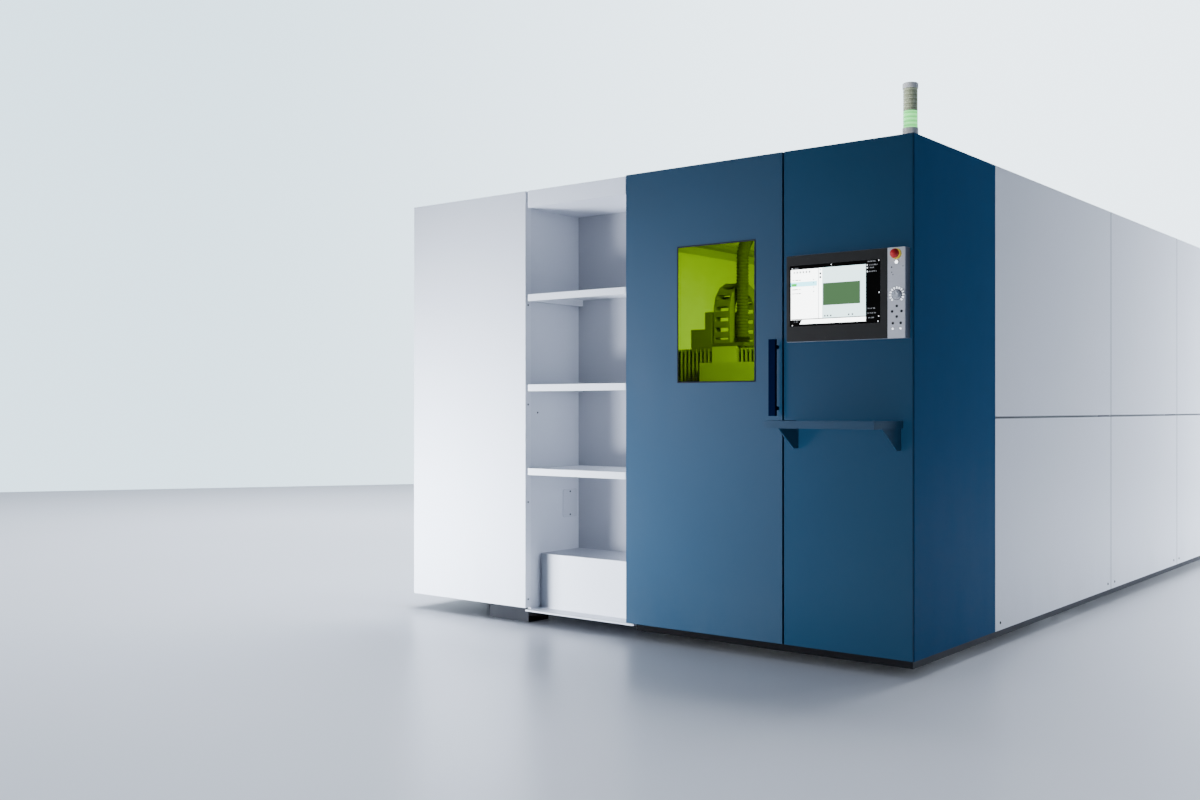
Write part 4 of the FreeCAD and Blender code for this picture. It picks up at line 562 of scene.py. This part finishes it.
finishes = {
    "blue_paint": powder_coat("blue_powder_coat", (0.0125, 0.049, 0.092), 0.32, 0.05, 1.8, 0.04,
                              sheen=0.3),
    "dark_blue_paint": powder_coat("dark_blue_powder_coat", (0.0002, 0.0036, 0.021), 0.5, 0.1, 1.8,
                                   gloss=0.03),
    "white_paint": white_coat("white_powder_coat", dust=0.12),
    "alcove_paint": alcove_coat(),
    "frame_paint": powder_coat("frame_powder_coat", (0.014, 0.015, 0.018), 0.5, 0.1, 2.2, 0.03),
    "bare_steel": ground_steel("ground_steel", (0.56, 0.57, 0.59)),
    "slat_steel": ground_steel("slat_steel", (0.42, 0.4, 0.38), 0.45, (30.0, 1.0, 30.0), 0.75),
    "liner_paint": powder_coat("liner_powder_coat", (0.66, 0.67, 0.67), 0.42, 0.04, 1.1, 0.3),
    "lamp_cover": lamp_diffuser(),
    "terminal_case": powder_coat("terminal_powder_coat", (0.11, 0.125, 0.16), 0.36, 0.03, 2.4),
    "bezel_black": moulded("bezel_plastic", (0.014, 0.015, 0.014), 0.38, 1400.0, 0.00004),
    "screen_glass": control_screen(),
    "silver_plate": brushed_plate(),
    "collar_yellow": moulded("collar_plastic", (0.85, 0.6, 0.02), 0.34, 1200.0, 0.00003),
    "stop_red": moulded("stop_plastic", (0.46, 0.014, 0.016), 0.42, 1200.0, 0.00003),
    "dial_grey": ground_steel("dial_aluminium", (0.60, 0.61, 0.64), 0.32, (20.0, 1.0, 20.0),
                              metal=0.2),
    "power_ring": lit_ring(),
    "beacon_grey": moulded("beacon_plastic", (0.66, 0.67, 0.66), 0.45, 900.0, 0.00006, 0.04),
    "beacon_green": beacon_lens_glass(),
    "window_tint": tinted_pane(),
    "seal_rubber": moulded("seal_rubber", (0.012, 0.014, 0.02), 0.6, 1000.0, 0.0001),
    "gantry_paint": powder_coat("gantry_powder_coat", (0.5, 0.52, 0.54), 0.4, 0.04, 1.3),
    "bellows_cloth": bellows_cloth(),
    "chain_plastic": moulded("chain_plastic", (0.19, 0.195, 0.20), 0.5, 700.0, 0.0001),
    "hose_rubber": moulded("hose_rubber", (0.088, 0.092, 0.095), 0.5, 800.0, 0.0001),
    "head_metal": ground_steel("head_aluminium", (0.68, 0.69, 0.7), 0.3, (20.0, 20.0, 1.0)),
    "trim": moulded("trim_plastic", (0.27, 0.29, 0.34), 0.4, 1200.0, 0.00003),
}
key_black = moulded("key_plastic", (0.015, 0.015, 0.017), 0.4, 1500.0, 0.00003)

# Nodes whose finish departs from that of their slot.
END_SHADE, TOP_SHADE = (0.24, 0.26, 0.30), (0.40, 0.41, 0.45)
own_finish = {
    # a slightly darker copy of the door's blue, with a brighter blue on its right face: painted
    # shade and painted light on one folded sheet
    "corner_cover": powder_coat("corner_powder_coat", (0.010, 0.044, 0.086), 0.45, 0.05, 1.8,
                                gloss=0.05, sheen=0.6, painted_side_tone=(0.005, 0.058, 0.140)),
    "carriage_body": carriage_coat(),
    "carriage_guard": powder_coat("guard_powder_coat", (0.165, 0.175, 0.18), 0.45, 0.05, 2.0),
    # painted shade on the step's left end, and on its top for its dark look at a low angle
    "alcove_step_cover": white_coat("step_powder_coat", (0.80, 0.815, 0.86),
                                    fades=[("x", -0.565, -0.625, 0.75, END_SHADE),
                                           ("z", 0.3592, 0.3597, 1.0, TOP_SHADE)]),
    # the header's, the step's and the shelves' colours are lighter copies of the white paint:
    # painted light
    "alcove_header": white_coat("header_powder_coat", (0.84, 0.855, 0.92)),
    # edge factor under 1: its edges are darkened as painted shade along the joint round the cover
    "service_cover": powder_coat("service_powder_coat", (0.62, 0.635, 0.68), 0.4, 0.012, 0.3),
    "cover_screws": finishes["frame_paint"],
    "levelling_feet": finishes["frame_paint"],
}
# painted shade on the shelves' left ends, where their rounded ends lie in shade
shelf_paint = white_coat("shelf_powder_coat", (0.80, 0.815, 0.85),
                         fades=[("x", -0.646, -0.666, 0.85, END_SHADE)])
for shelf in ("upper_shelf", "middle_shelf", "lower_shelf"):
    own_finish[shelf] = shelf_paint
side_paint = white_coat("side_powder_coat", dust=0.12,
                        seams=(("y", 0.015), ("y", 1.475), ("z", 1.090)))
for cover in ("right_lower_front_panel", "right_lower_middle_panel", "right_lower_rear_panel",
              "right_upper_front_panel", "right_upper_rear_panel", "left_side_panels"):
    own_finish[cover] = side_paint

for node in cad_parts.values():
    for number, slot in enumerate(node.data.materials):
        node.data.materials[number] = finishes[slot.name.split(".")[0]]
    if node.name.endswith("_key"):
        node.data.materials[0] = key_black
    if node.name in own_finish:
        node.data.materials[0] = own_finish[node.name]


# ---------------------------------------------------------------------- shapes


def skin(rows, columns, closed_rows=False, closed_columns=False):
    """The four-cornered faces of a grid of points, joined round where it is closed."""
    i = np.arange(rows if closed_rows else rows - 1)
    j = np.arange(columns if closed_columns else columns - 1)
    a, b = (g.ravel() for g in np.meshgrid(i, j, indexing="ij"))
    c, d = (a + 1) % rows, (b + 1) % columns
    corners = [a * columns + b, c * columns + b, c * columns + d, a * columns + d]
    return np.stack(corners, axis=-1)


def piece(name, points, faces, finish, body, stands_for=(), smooth=35.0):
    """A new piece, its doubled points joined, that rides on a CAD body where one is given.

    Edges sharper than `smooth` degrees stay sharp.
    """
    mesh = bpy.data.meshes.new(name)
    mesh.from_pydata(points.reshape(-1, 3).tolist(), [], faces.tolist())
    shell = bmesh.new()
    shell.from_mesh(mesh)
    bmesh.ops.remove_doubles(shell, verts=shell.verts, dist=1e-6)
    bmesh.ops.recalc_face_normals(shell, faces=shell.faces)
    shell.to_mesh(mesh)
    shell.free()
    mesh.shade_smooth()
    mesh.set_sharp_from_angle(angle=math.radians(smooth))
    mesh.materials.append(finish)
    made = bpy.data.objects.new(name, mesh)
    bpy.context.scene.collection.objects.link(made)
    if body:
        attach(made, body)
    for node in stands_for:
        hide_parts(node)
    return made


def axes(facing):
    """Two directions square to a facing direction, and that direction, as unit arrays."""
    w = np.asarray(facing, float)
    w = w / np.linalg.norm(w)
    u = np.cross(w, (0.0, 0.0, 1.0) if abs(w[2]) < 0.9 else (1.0, 0.0, 0.0))
    u = u / np.linalg.norm(u)
    return u, np.cross(w, u), w


def lathed(profile, centre, facing, sides=48, flutes=0, depth=0.0, fluted=(0.0, 0.0)):
    """A turned form: every (radius, height) of the profile is carried round the axis.

    Between the two fluted heights the radius is drawn in by depth times the square of
    the sine of half the flutes' angle, which cuts that many even hollows.
    """
    u, v, w = axes(facing)
    profile = np.asarray(profile, float)
    angle = np.linspace(0.0, 2.0 * math.pi, sides, endpoint=False)
    radius = np.repeat(profile[:, :1], sides, axis=1)
    if flutes:
        held = (profile[:, 1] > fluted[0]) & (profile[:, 1] < fluted[1])
        radius = radius - depth * held[:, None] * np.sin(flutes * angle / 2.0)[None] ** 2
    ring = np.cos(angle)[:, None] * u + np.sin(angle)[:, None] * v
    rise = profile[:, 1][:, None, None] * w
    return np.asarray(centre) + radius[..., None] * ring[None] + rise


def arc(centre, radius, start, end, steps=8):
    """Points of an arc in the plane of radius and height, its ends in degrees."""
    angle = np.radians(np.linspace(start, end, steps))
    return np.stack([centre[0] + radius * np.cos(angle), centre[1] + radius * np.sin(angle)], -1)


def turned_piece(name, profile, centre, facing, finish, body, slot, stands_for=(), **shape):
    """A single turned piece; its profile starts and ends on the axis."""
    points = lathed(profile, centre, facing, **shape)
    faces = skin(points.shape[0], points.shape[1], closed_columns=True)
    return piece(name, points, faces, finish, body, stands_for)


def screw_heads(name, places, facing):
    """Low domed heads with a round socket, one turned form set down at every place."""
    shape = np.array([(0.0, 0.05), (0.42, 0.05), (0.5, 0.38), (0.86, 0.3), (1.0, 0.1),
                      (1.0, 0.0), (0.0, 0.0)])
    one = lathed(shape * SCREW_RADIUS, (0.0, 0.0, 0.0), facing, sides=12)
    points = one.reshape(1, -1, 3) + places[:, None, :]
    faces = skin(one.shape[0], one.shape[1], closed_columns=True)
    every = faces[None] + (np.arange(len(places)) * one.shape[0] * one.shape[1])[:, None, None]
    piece(name, points, every.reshape(-1, 4), finishes["bezel_black"], "machine")


def screw_rows(fixed, first, second, order):
    """Places at every pair of the first and second list, on a plane at fixed.

    The order names what x, y and z are: f the plane's place, a the first, b the second.
    """
    a, b = np.meshgrid(first, second, indexing="ij")
    flat = np.full(a.size, fixed)
    return np.stack([{"f": flat, "a": a.ravel(), "b": b.ravel()}[key] for key in order], -1)


# ----------------------------------------------------------- controls and keys

FRONTWARDS = (0.0, -1.0, 0.0)


def stop_mushroom():
    """The stop button's crown: a rounded cap with a grip ring over a straight stem."""
    lo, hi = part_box("stop_button")
    reach = hi.y - lo.y
    stem, brim_radius, roll, crown = 0.0079, 0.0172, 0.0026, 0.0262
    clear_of_collar, crown_height = 0.0048, 0.009
    brim = hi.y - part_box("stop_collar")[0].y + clear_of_collar
    rim = brim + roll
    grip = reach - crown_height - rim
    profile = np.concatenate([
        [(0.0, 0.0), (stem, 0.0), (stem, brim), (brim_radius, brim)],
        arc((brim_radius, rim), roll, -90, 0, 5),
        [(0.0198, rim + grip * 0.5), (0.0192, rim + grip * 0.8)],
        arc((0.0, reach - crown), crown, 41, 90, 12),
    ])
    turned_piece("stop_mushroom", profile, (CONTROL_X, hi.y, STOP_Z), FRONTWARDS,
                 finishes["stop_red"], "stop_button", "stop_red", ["stop_button"], sides=64)


def fluted_dial():
    """The override knob: fluted skirt, flat face with a rolled edge, pointer line."""
    lo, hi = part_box("override_dial")
    reach = hi.y - lo.y
    stem, knob_height, roll, dish = 0.0039, 0.018, 0.0016, 0.0008
    base = reach - knob_height
    profile = np.concatenate([
        [(0.0, 0.0), (stem, 0.0), (stem, base), (0.0156, base), (0.0158, base + 0.001)],
        [(0.0154, base + 0.004), (0.0150, base + 0.009), (0.0146, base + 0.0145)],
        arc((0.0128, reach - roll), roll, 0, 90, 5),
        [(0.0105, reach - 0.0002), (0.0098, reach - dish), (0.0, reach - dish)],
    ])
    turned_piece("fluted_dial", profile, (CONTROL_X, hi.y, DIAL_Z), FRONTWARDS,
                 finishes["dial_grey"], "override_dial", "dial_grey", ["override_dial"],
                 sides=144, flutes=24, depth=0.0007, fluted=(base + 0.0005, base + 0.015))
    bar = np.array([(x, y, z) for x in (-0.0009, 0.0009) for y in (-0.0006, 0.0)
                    for z in (0.003, 0.0132)])
    bar += (CONTROL_X, lo.y + 0.0007, DIAL_Z)
    faces = [(0, 1, 3, 2), (4, 5, 7, 6), (0, 1, 5, 4), (2, 3, 7, 6), (0, 2, 6, 4), (1, 3, 7, 5)]
    piece("dial_pointer", bar, np.array(faces), key_black, "override_dial")


def domed_key(node):
    """A small round key: short skirt, rolled edge and a shallow finger hollow."""
    lo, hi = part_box(node)
    middle = (lo + hi) / 2
    reach = hi.y - lo.y
    radius, roll = 0.0058, 0.0012
    profile = np.concatenate([
        [(0.0, 0.0), (radius, 0.0), (radius, reach - roll)],
        arc((radius - roll, reach - roll), roll, 0, 90, 5),
        [(0.0036, reach - 0.0002), (0.0, reach - 0.0008)],
    ])
    turned_piece(node + "_cap", profile, (middle.x, hi.y, middle.z), FRONTWARDS, key_black,
                 node, "silver_plate", [node], sides=40)


stop_mushroom()
fluted_dial()
for key in ("jog_up", "jog_left", "jog_right", "jog_down", "stop_feed", "start_feed"):
    domed_key(key + "_key")


# ---------------------------------------------------------------------- beacon


def beacon_ribs():
    """Both lenses as one turned shell; the radius swells with the absolute sine of the height."""
    lo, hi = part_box("beacon_lens")
    centre = ((lo.x + hi.x) / 2, (lo.y + hi.y) / 2, lo.z)
    tall, ribs = hi.z - lo.z, 18
    rise = np.linspace(0.0, tall, 8 * ribs + 1)
    radius = 0.0292 + 0.0016 * np.abs(np.sin(rise * math.pi * ribs / tall))
    profile = np.concatenate([[(0.0, 0.0)], np.stack([radius, rise], -1), [(0.0, tall)]])
    turned_piece("beacon_ribs", profile, centre, (0.0, 0.0, 1.0), finishes["beacon_green"],
                 "machine", "beacon_green", ["beacon_lens"], sides=64)


beacon_ribs()


# ------------------------------------------------------------- hose and bellows


def ribbed_hose():
    """The supply hose: up one leg, round a half circle and down the other.

    A ring whose radius falls and rises with the cosine of the distance along is carried
    square to that path. A turned clamp holds each end.
    """
    lo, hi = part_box("supply_hose")
    radius, bend, plain_radius = 0.0355, 0.180, 0.036
    rib_pitch, rib_depth, sides = 0.0175, 0.0045, 24
    middle, centre_y = (lo.x + hi.x) / 2, (lo.y + hi.y) / 2
    foot, top = lo.z, hi.z - plain_radius - bend
    leg, turn = top - foot, math.pi * bend
    along = np.linspace(0.0, 2 * leg + turn, 760)
    angle = np.clip((along - leg) / bend, 0.0, math.pi)
    y = centre_y - bend * np.cos(angle)
    z = np.where(along < leg, foot + along, top + bend * np.sin(angle))
    z = np.where(along > leg + turn, top - (along - leg - turn), z)
    outward = np.stack([np.zeros_like(y), -np.cos(angle), np.sin(angle)], -1)
    aside = np.array([1.0, 0.0, 0.0])
    swell = radius - rib_depth * (0.5 - 0.5 * np.cos(along * 2 * math.pi / rib_pitch))
    swell[[0, -1]] = 0.0
    swell[[1, -2]] = radius
    around = np.linspace(0.0, 2.0 * math.pi, sides, endpoint=False)
    ring = np.cos(around)[None, :, None] * outward[:, None] + np.sin(around)[None, :, None] * aside
    path = np.stack([np.full_like(y, middle), y, z], -1)
    points = path[:, None] + swell[:, None, None] * ring
    faces = skin(len(along), sides, closed_columns=True)
    piece("ribbed_hose", points, faces, finishes["hose_rubber"], "carriage",
          ["supply_hose"], smooth=60.0)
    clamp = [(0.0, 0.0), (0.0405, 0.0), (0.0415, 0.002), (0.0415, 0.011), (0.0395, 0.013),
             (0.0395, 0.019), (0.0412, 0.021), (0.0412, 0.028), (0.0400, 0.030), (0.0, 0.030)]
    for side, at in (("front", centre_y - bend), ("rear", centre_y + bend)):
        turned_piece("hose_clamp_" + side, clamp, (middle, at, foot), (0.0, 0.0, 1.0),
                     finishes["bezel_black"], "carriage", "bezel_black", sides=48)


def folded_bellows(side):
    """Pleated cover between the gantry and the carriage.

    Along the beam the depth rises and falls in even points; the section is a front
    face turned over the top and bottom, and each fold draws all three inwards. The
    "fold" attribute is 1 at the bottom of a fold and 0 on its crest.
    """
    node = "bellows_" + side
    lo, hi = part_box(node)
    pitch, fold_depth, wall = 0.027, 0.026, 0.0016
    end_gap, side_gap = 0.0005, 0.001
    pleats = max(4, round((hi.x - lo.x) / pitch))
    x = np.linspace(lo.x + end_gap, hi.x - end_gap, 2 * pleats + 1)
    share = np.where(np.arange(len(x)) % 2 == 0, 0.0, 1.0)

    def section(inset):
        """The four corners, drawn in by the fold and by the inset."""
        drawn = side_gap + share * fold_depth + inset
        back, front = np.full_like(share, hi.y), lo.y + drawn
        below, above = lo.z + drawn, hi.z - drawn
        return [(back, below), (front, below), (front, above), (back, above)]

    outline = section(0.0) + section(wall)[::-1]
    points = np.stack([np.stack([x, y, z], -1) for y, z in outline], 1)
    faces = skin(len(x), len(outline), closed_columns=True)
    rim = len(outline)
    caps = [[end_row * rim + k for k in quad] for end_row in (0, len(x) - 1)
            for quad in ((0, 1, 6, 7), (1, 2, 5, 6), (2, 3, 4, 5))]
    faces = np.concatenate([faces, np.array(caps)])
    made = piece("folded_" + node, points, faces, finishes["bellows_cloth"], None,
                 [node], smooth=20.0)
    folds = made.data.attributes.new("fold", "FLOAT", "POINT")
    folds.data.foreach_set("value", np.repeat(share, rim))
    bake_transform(made)


ribbed_hose()
for side, near_end, far_end in (("left", "lo", "hi"), ("right", "hi", "lo")):
    folded_bellows(side)


# ------------------------------------------------------- edgings and brush strip


def edge_bead(name, left, right, low, high, depth, section, finish, body):
    """A bead round a rectangle that faces the front, with its corners barely rounded.

    A rounded section is carried round the rectangle. Both follow the superellipse
    |a|^n + |b|^n = 1, written with the signed powers 2/n of cos and sin.
    """
    steps, sides = 720, 12

    def rounded(count, power):
        """Points of the superellipse whose half width and half height are 1."""
        angle = np.linspace(0.0, 2.0 * math.pi, count, endpoint=False)
        c, s = np.cos(angle), np.sin(angle)
        return np.sign(c) * np.abs(c) ** (2 / power), np.sign(s) * np.abs(s) ** (2 / power)

    a, b = rounded(steps, 140.0)
    across, through = rounded(sides, 3.0)
    wide = (right - left) / 2 + section[0] * across
    tall = (high - low) / 2 + section[0] * across
    x = (left + right) / 2 + a[:, None] * wide[None]
    z = (low + high) / 2 + b[:, None] * tall[None]
    y = np.broadcast_to(depth + section[1] * through, x.shape)
    faces = skin(steps, sides, closed_rows=True, closed_columns=True)
    piece(name, np.stack([x, y, z], -1), faces, finishes[finish], body)


def guard_wiper():
    """The brush strip under the stepped guard: a rail and its bristles' wavy edge.

    The section is carried along x; the depth of the bristles follows a fine sine of x.
    """
    lo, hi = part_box("carriage_guard")
    x = np.linspace(lo.x + 0.001, hi.x - 0.001, 221)
    wave = 0.0009 * np.sin(x * 2.0 * math.pi / 0.0038)
    near, deep, top = lo.y + 0.004, lo.y + 0.014, lo.z + 0.004
    rail, neck, brush = near - 0.002, top - 0.010, top - 0.030
    outline = [(near - wave, brush), (near, neck), (rail, neck + 0.001), (rail, top), (deep, top),
               (deep + wave, brush)]
    rows = [np.stack([x, y + 0.0 * x, np.full_like(x, z)], -1) for y, z in outline]
    rim = len(outline)
    faces = skin(len(x), rim, closed_columns=True)
    last = (len(x) - 1) * rim
    caps = [[k + row for k in quad] for row in (0, last) for quad in ((0, 1, 4, 5), (1, 2, 3, 4))]
    piece("guard_wiper", np.stack(rows, 1), np.concatenate([faces, np.array(caps)]),
          finishes["chain_plastic"], "carriage")


door_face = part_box("door_leaf")[0].y
edge_bead("window_edging", left=0.3285, right=0.7565, low=1.257, high=1.899,
          depth=door_face - 0.0004, section=(0.0036, 0.0018), finish="seal_rubber", body="door")
case_low, case_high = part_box("terminal_housing")
inset = 0.0005
edge_bead("terminal_trim", left=case_low.x + inset, right=case_high.x - inset,
          low=case_low.z + inset, high=case_high.z - inset, depth=case_low.y - 0.0012,
          section=(0.0017, 0.0022), finish="trim", body="machine")
guard_wiper()


# ---------------------------------------------------------------- cover screws

side_rows, side_height = [-1.710, -0.044, 0.085, 1.394, 1.527, 2.875], [0.115]
rear_columns, rear_heights = [-1.45, -0.9, 1.13, 1.45], [0.12, 1.05, 2.22]
right_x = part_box("right_lower_front_panel")[1].x
left_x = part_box("left_side_panels")[0].x
rear_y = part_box("rear_wall")[1].y
screw_heads("right_cover_screws", screw_rows(right_x, side_rows, side_height, "fab"),
            (1.0, 0.0, 0.0))
screw_heads("left_cover_screws", screw_rows(left_x, side_rows, side_height, "fab"),
            (-1.0, 0.0, 0.0))
screw_heads("rear_wall_screws", screw_rows(rear_y, rear_columns, rear_heights, "afb"),
            (0.0, 1.0, 0.0))


# ------------------------------------------------------- floor, lights, camera


def floor():
    """A pale polished floor that ends at the foot of a plain wall behind the machine."""
    f = Finish("studio_floor")
    cloud = f.noise(0.35, 2.0)
    f.surface(
        Base_Color=f.blend(f.ramp(cloud, 0.3, 0.7), (0.70, 0.705, 0.73), (0.73, 0.735, 0.76)),
        Roughness=0.29 + cloud * 0.06,
        Specular_IOR_Level=0.32,
        Normal=f.bump(f.noise(40.0, 2.0), 0.00005),
    )
    wall_foot = np.array([-13.05, 0.44, 0.0])
    edge, inward = np.array([0.536, 0.844, 0.0]), np.array([0.844, -0.536, 0.0])
    count = 9
    along, away = np.meshgrid(np.linspace(-60.0, 60.0, count), np.linspace(0.0, 80.0, count),
                              indexing="ij")
    points = wall_foot + along[..., None] * edge + away[..., None] * inward
    mesh = bpy.data.meshes.new("studio_floor")
    mesh.from_pydata(points.reshape(-1, 3).tolist(), [], skin(count, count)[:, ::-1].tolist())
    mesh.materials.append(f.material)
    made = bpy.data.objects.new("studio_floor", mesh)
    bpy.context.scene.collection.objects.link(made)
    return made


def softbox(name, place, aim, size, power, tone=(0.80, 0.88, 1.0), spread=180.0):
    """A rectangular lamp turned towards a point, kept out of sight and of reflections."""
    lamp = bpy.data.lights.new(name, "AREA")
    lamp.shape = "RECTANGLE"
    lamp.size, lamp.size_y = size
    lamp.energy = power
    lamp.color = tone
    lamp.spread = math.radians(spread)
    made = bpy.data.objects.new(name, lamp)
    made.location = place
    made.rotation_euler = (Vector(aim) - Vector(place)).to_track_quat("-Z", "Y").to_euler()
    made.visible_camera = made.visible_transmission = made.visible_glossy = False
    bpy.context.scene.collection.objects.link(made)
    return made


def flag(lamp, things, state="EXCLUDE", shadows=()):
    """Keeps a lamp off the things, or with INCLUDE on them alone.

    What `shadows` lists casts no shadow of that lamp.
    """
    lit = bpy.data.collections.new(lamp.name + "_lit")
    lamp.light_linking.receiver_collection = lit
    cast = bpy.data.collections.new(lamp.name + "_cast")
    lamp.light_linking.blocker_collection = cast
    for group, members in ((lit, things), (cast, shadows)):
        for thing in members:
            group.objects.link(thing)
        for held in group.collection_objects:
            held.light_linking.link_state = state if group == lit else "EXCLUDE"


def studio_sky():
    """The studio all round: cool and even, with a pale wall that only the camera sees.

    Mirrored rays see a dark room, apart from the pale end that the floor reflects and a
    bright low patch at the left that the blue front reflects.
    """
    sky = bpy.data.worlds.new("studio")
    sky.use_nodes = True
    tree = sky.node_tree
    out = tree.nodes["World Output"]

    def glow(colour, strength):
        """An even light of one colour."""
        made = tree.nodes.new("ShaderNodeBackground")
        made.inputs["Color"].default_value = (*colour, 1.0)
        made.inputs["Strength"].default_value = strength
        return made.outputs[0]

    def mix(factor, first, second):
        """The first light where the factor is 0, the second where it is 1."""
        made = tree.nodes.new("ShaderNodeMixShader")
        for socket, given in zip(made.inputs, (factor, first, second)):
            tree.links.new(given, socket)
        return made.outputs[0]

    def towards(direction, start, end):
        """0 to 1 as the ray's share along a direction goes from start to end."""
        facing = tree.nodes.new("ShaderNodeVectorMath")
        facing.operation = "DOT_PRODUCT"
        facing.inputs[1].default_value = direction
        tree.links.new(place.outputs["Generated"], facing.inputs[0])
        ramp = tree.nodes.new("ShaderNodeMapRange")
        ramp.interpolation_type = "SMOOTHSTEP"
        ramp.inputs["From Min"].default_value = start
        ramp.inputs["From Max"].default_value = end
        tree.links.new(facing.outputs["Value"], ramp.inputs["Value"])
        return ramp.outputs["Result"]

    path = tree.nodes.new("ShaderNodeLightPath")
    place = tree.nodes.new("ShaderNodeTexCoord")
    pale_end = towards((-0.72, 0.69, 0.0), 0.35, 0.95)
    dim = glow((0.30, 0.55, 1.0), 0.03)
    low = mix(towards((0.0, 0.0, -1.0), -0.13, 0.06), dim, glow((1.0, 0.88, 0.92), 8.6))
    gloss = mix(towards((-0.89, -0.45, 0.0), 0.78, 0.93), dim, low)
    gloss = mix(pale_end, gloss, glow((0.72, 0.84, 1.0), 1.9))
    seen = mix(path.outputs["Is Glossy Ray"], glow((0.62, 0.76, 1.0), 0.24), gloss)
    darker, paler = glow((0.66, 0.87, 1.0), 2.8), glow((0.76, 0.90, 1.0), 4.3)
    wall = mix(towards((0.779, 0.627, 0.0), -0.35, 0.3), darker, paler)
    seen = mix(path.outputs["Is Camera Ray"], seen, wall)
    tree.links.new(seen, out.inputs["Surface"])
    bpy.context.scene.world = sky


def floor_fill(ground):
    """A wide soft sun that lights the floor alone."""
    sun = bpy.data.lights.new("floor_fill", "SUN")
    sun.energy, sun.angle, sun.color = 0.85, math.radians(100.0), (0.86, 0.90, 1.0)
    fill = bpy.data.objects.new("floor_fill", sun)
    fill.rotation_euler = Vector((0.35, -0.75, 1.0)).to_track_quat("Z", "Y").to_euler()
    fill.visible_glossy = False
    bpy.context.scene.collection.objects.link(fill)
    flag(fill, [ground], "INCLUDE")


def named(*starts):
    """The meshes whose names start with any of these."""
    return [thing for thing in bpy.context.scene.objects
            if thing.type == "MESH" and thing.name.startswith(starts)]


def lights(ground):
    """The softboxes round the machine, one for the beacon and two inside the chamber."""
    key = softbox("low_left_softbox", place=(-2.6, -4.8, 0.22), aim=(-1.0, -2.64, 0.52),
                  size=(1.6, 0.6), power=184.0, spread=91.0)
    flag(key, [ground, *named("enclosure_frame", "levelling_feet")],
         shadows=named("terminal_", "display_", "control_", "tray", "door_handle", "stop_"))
    softbox("right_rear_softbox", place=(6.0, 8.5, 1.6), aim=(1.5, 5.0, 1.2),
            size=(3.0, 2.4), power=620.0, spread=68.0)
    softbox("overhead_softbox", place=(-3.4, 4.0, 9.5), aim=(-3.0, 0.5, 0.0),
            size=(12.0, 9.0), power=1230.0, spread=78.0)
    floor_fill(ground)
    top = softbox("beacon_softbox", place=(-0.6, -5.6, 3.0), aim=(1.46, -2.55, 2.42),
                  size=(1.0, 1.0), power=95.0, tone=(1.0, 0.97, 0.94))
    flag(top, named("beacon_"), "INCLUDE")
    for name, place, aim, power in (("front", (1.15, -2.2, 1.95), (-0.5, -0.9, 1.2), 14.0),
                                    ("wall", (0.9, -0.4, 1.95), (-1.2, -0.2, 1.4), 18.5)):
        inside = softbox("chamber_" + name + "_lamp", place, aim, size=(0.7, 0.3), power=power,
                         tone=(1.0, 1.0, 1.0), spread=110.0)
        flag(inside, [ground])


def camera():
    """The photo's camera: level, beyond the front right corner, with a slight rise."""
    eye = bpy.data.cameras.new("camera")
    eye.lens, eye.sensor_width, eye.shift_y = 37.134, 36.0, 0.00667
    eye.clip_end = 200.0
    made = bpy.data.objects.new("camera", eye)
    made.location = (3.7315, -7.4875, 1.1356)
    made.rotation_euler = (math.radians(90.0), 0.0, math.radians(38.81))
    bpy.context.scene.collection.objects.link(made)
    bpy.context.scene.camera = made


ground = floor()
studio_sky()
lights(ground)
camera()

bpy.context.view_layer.update()
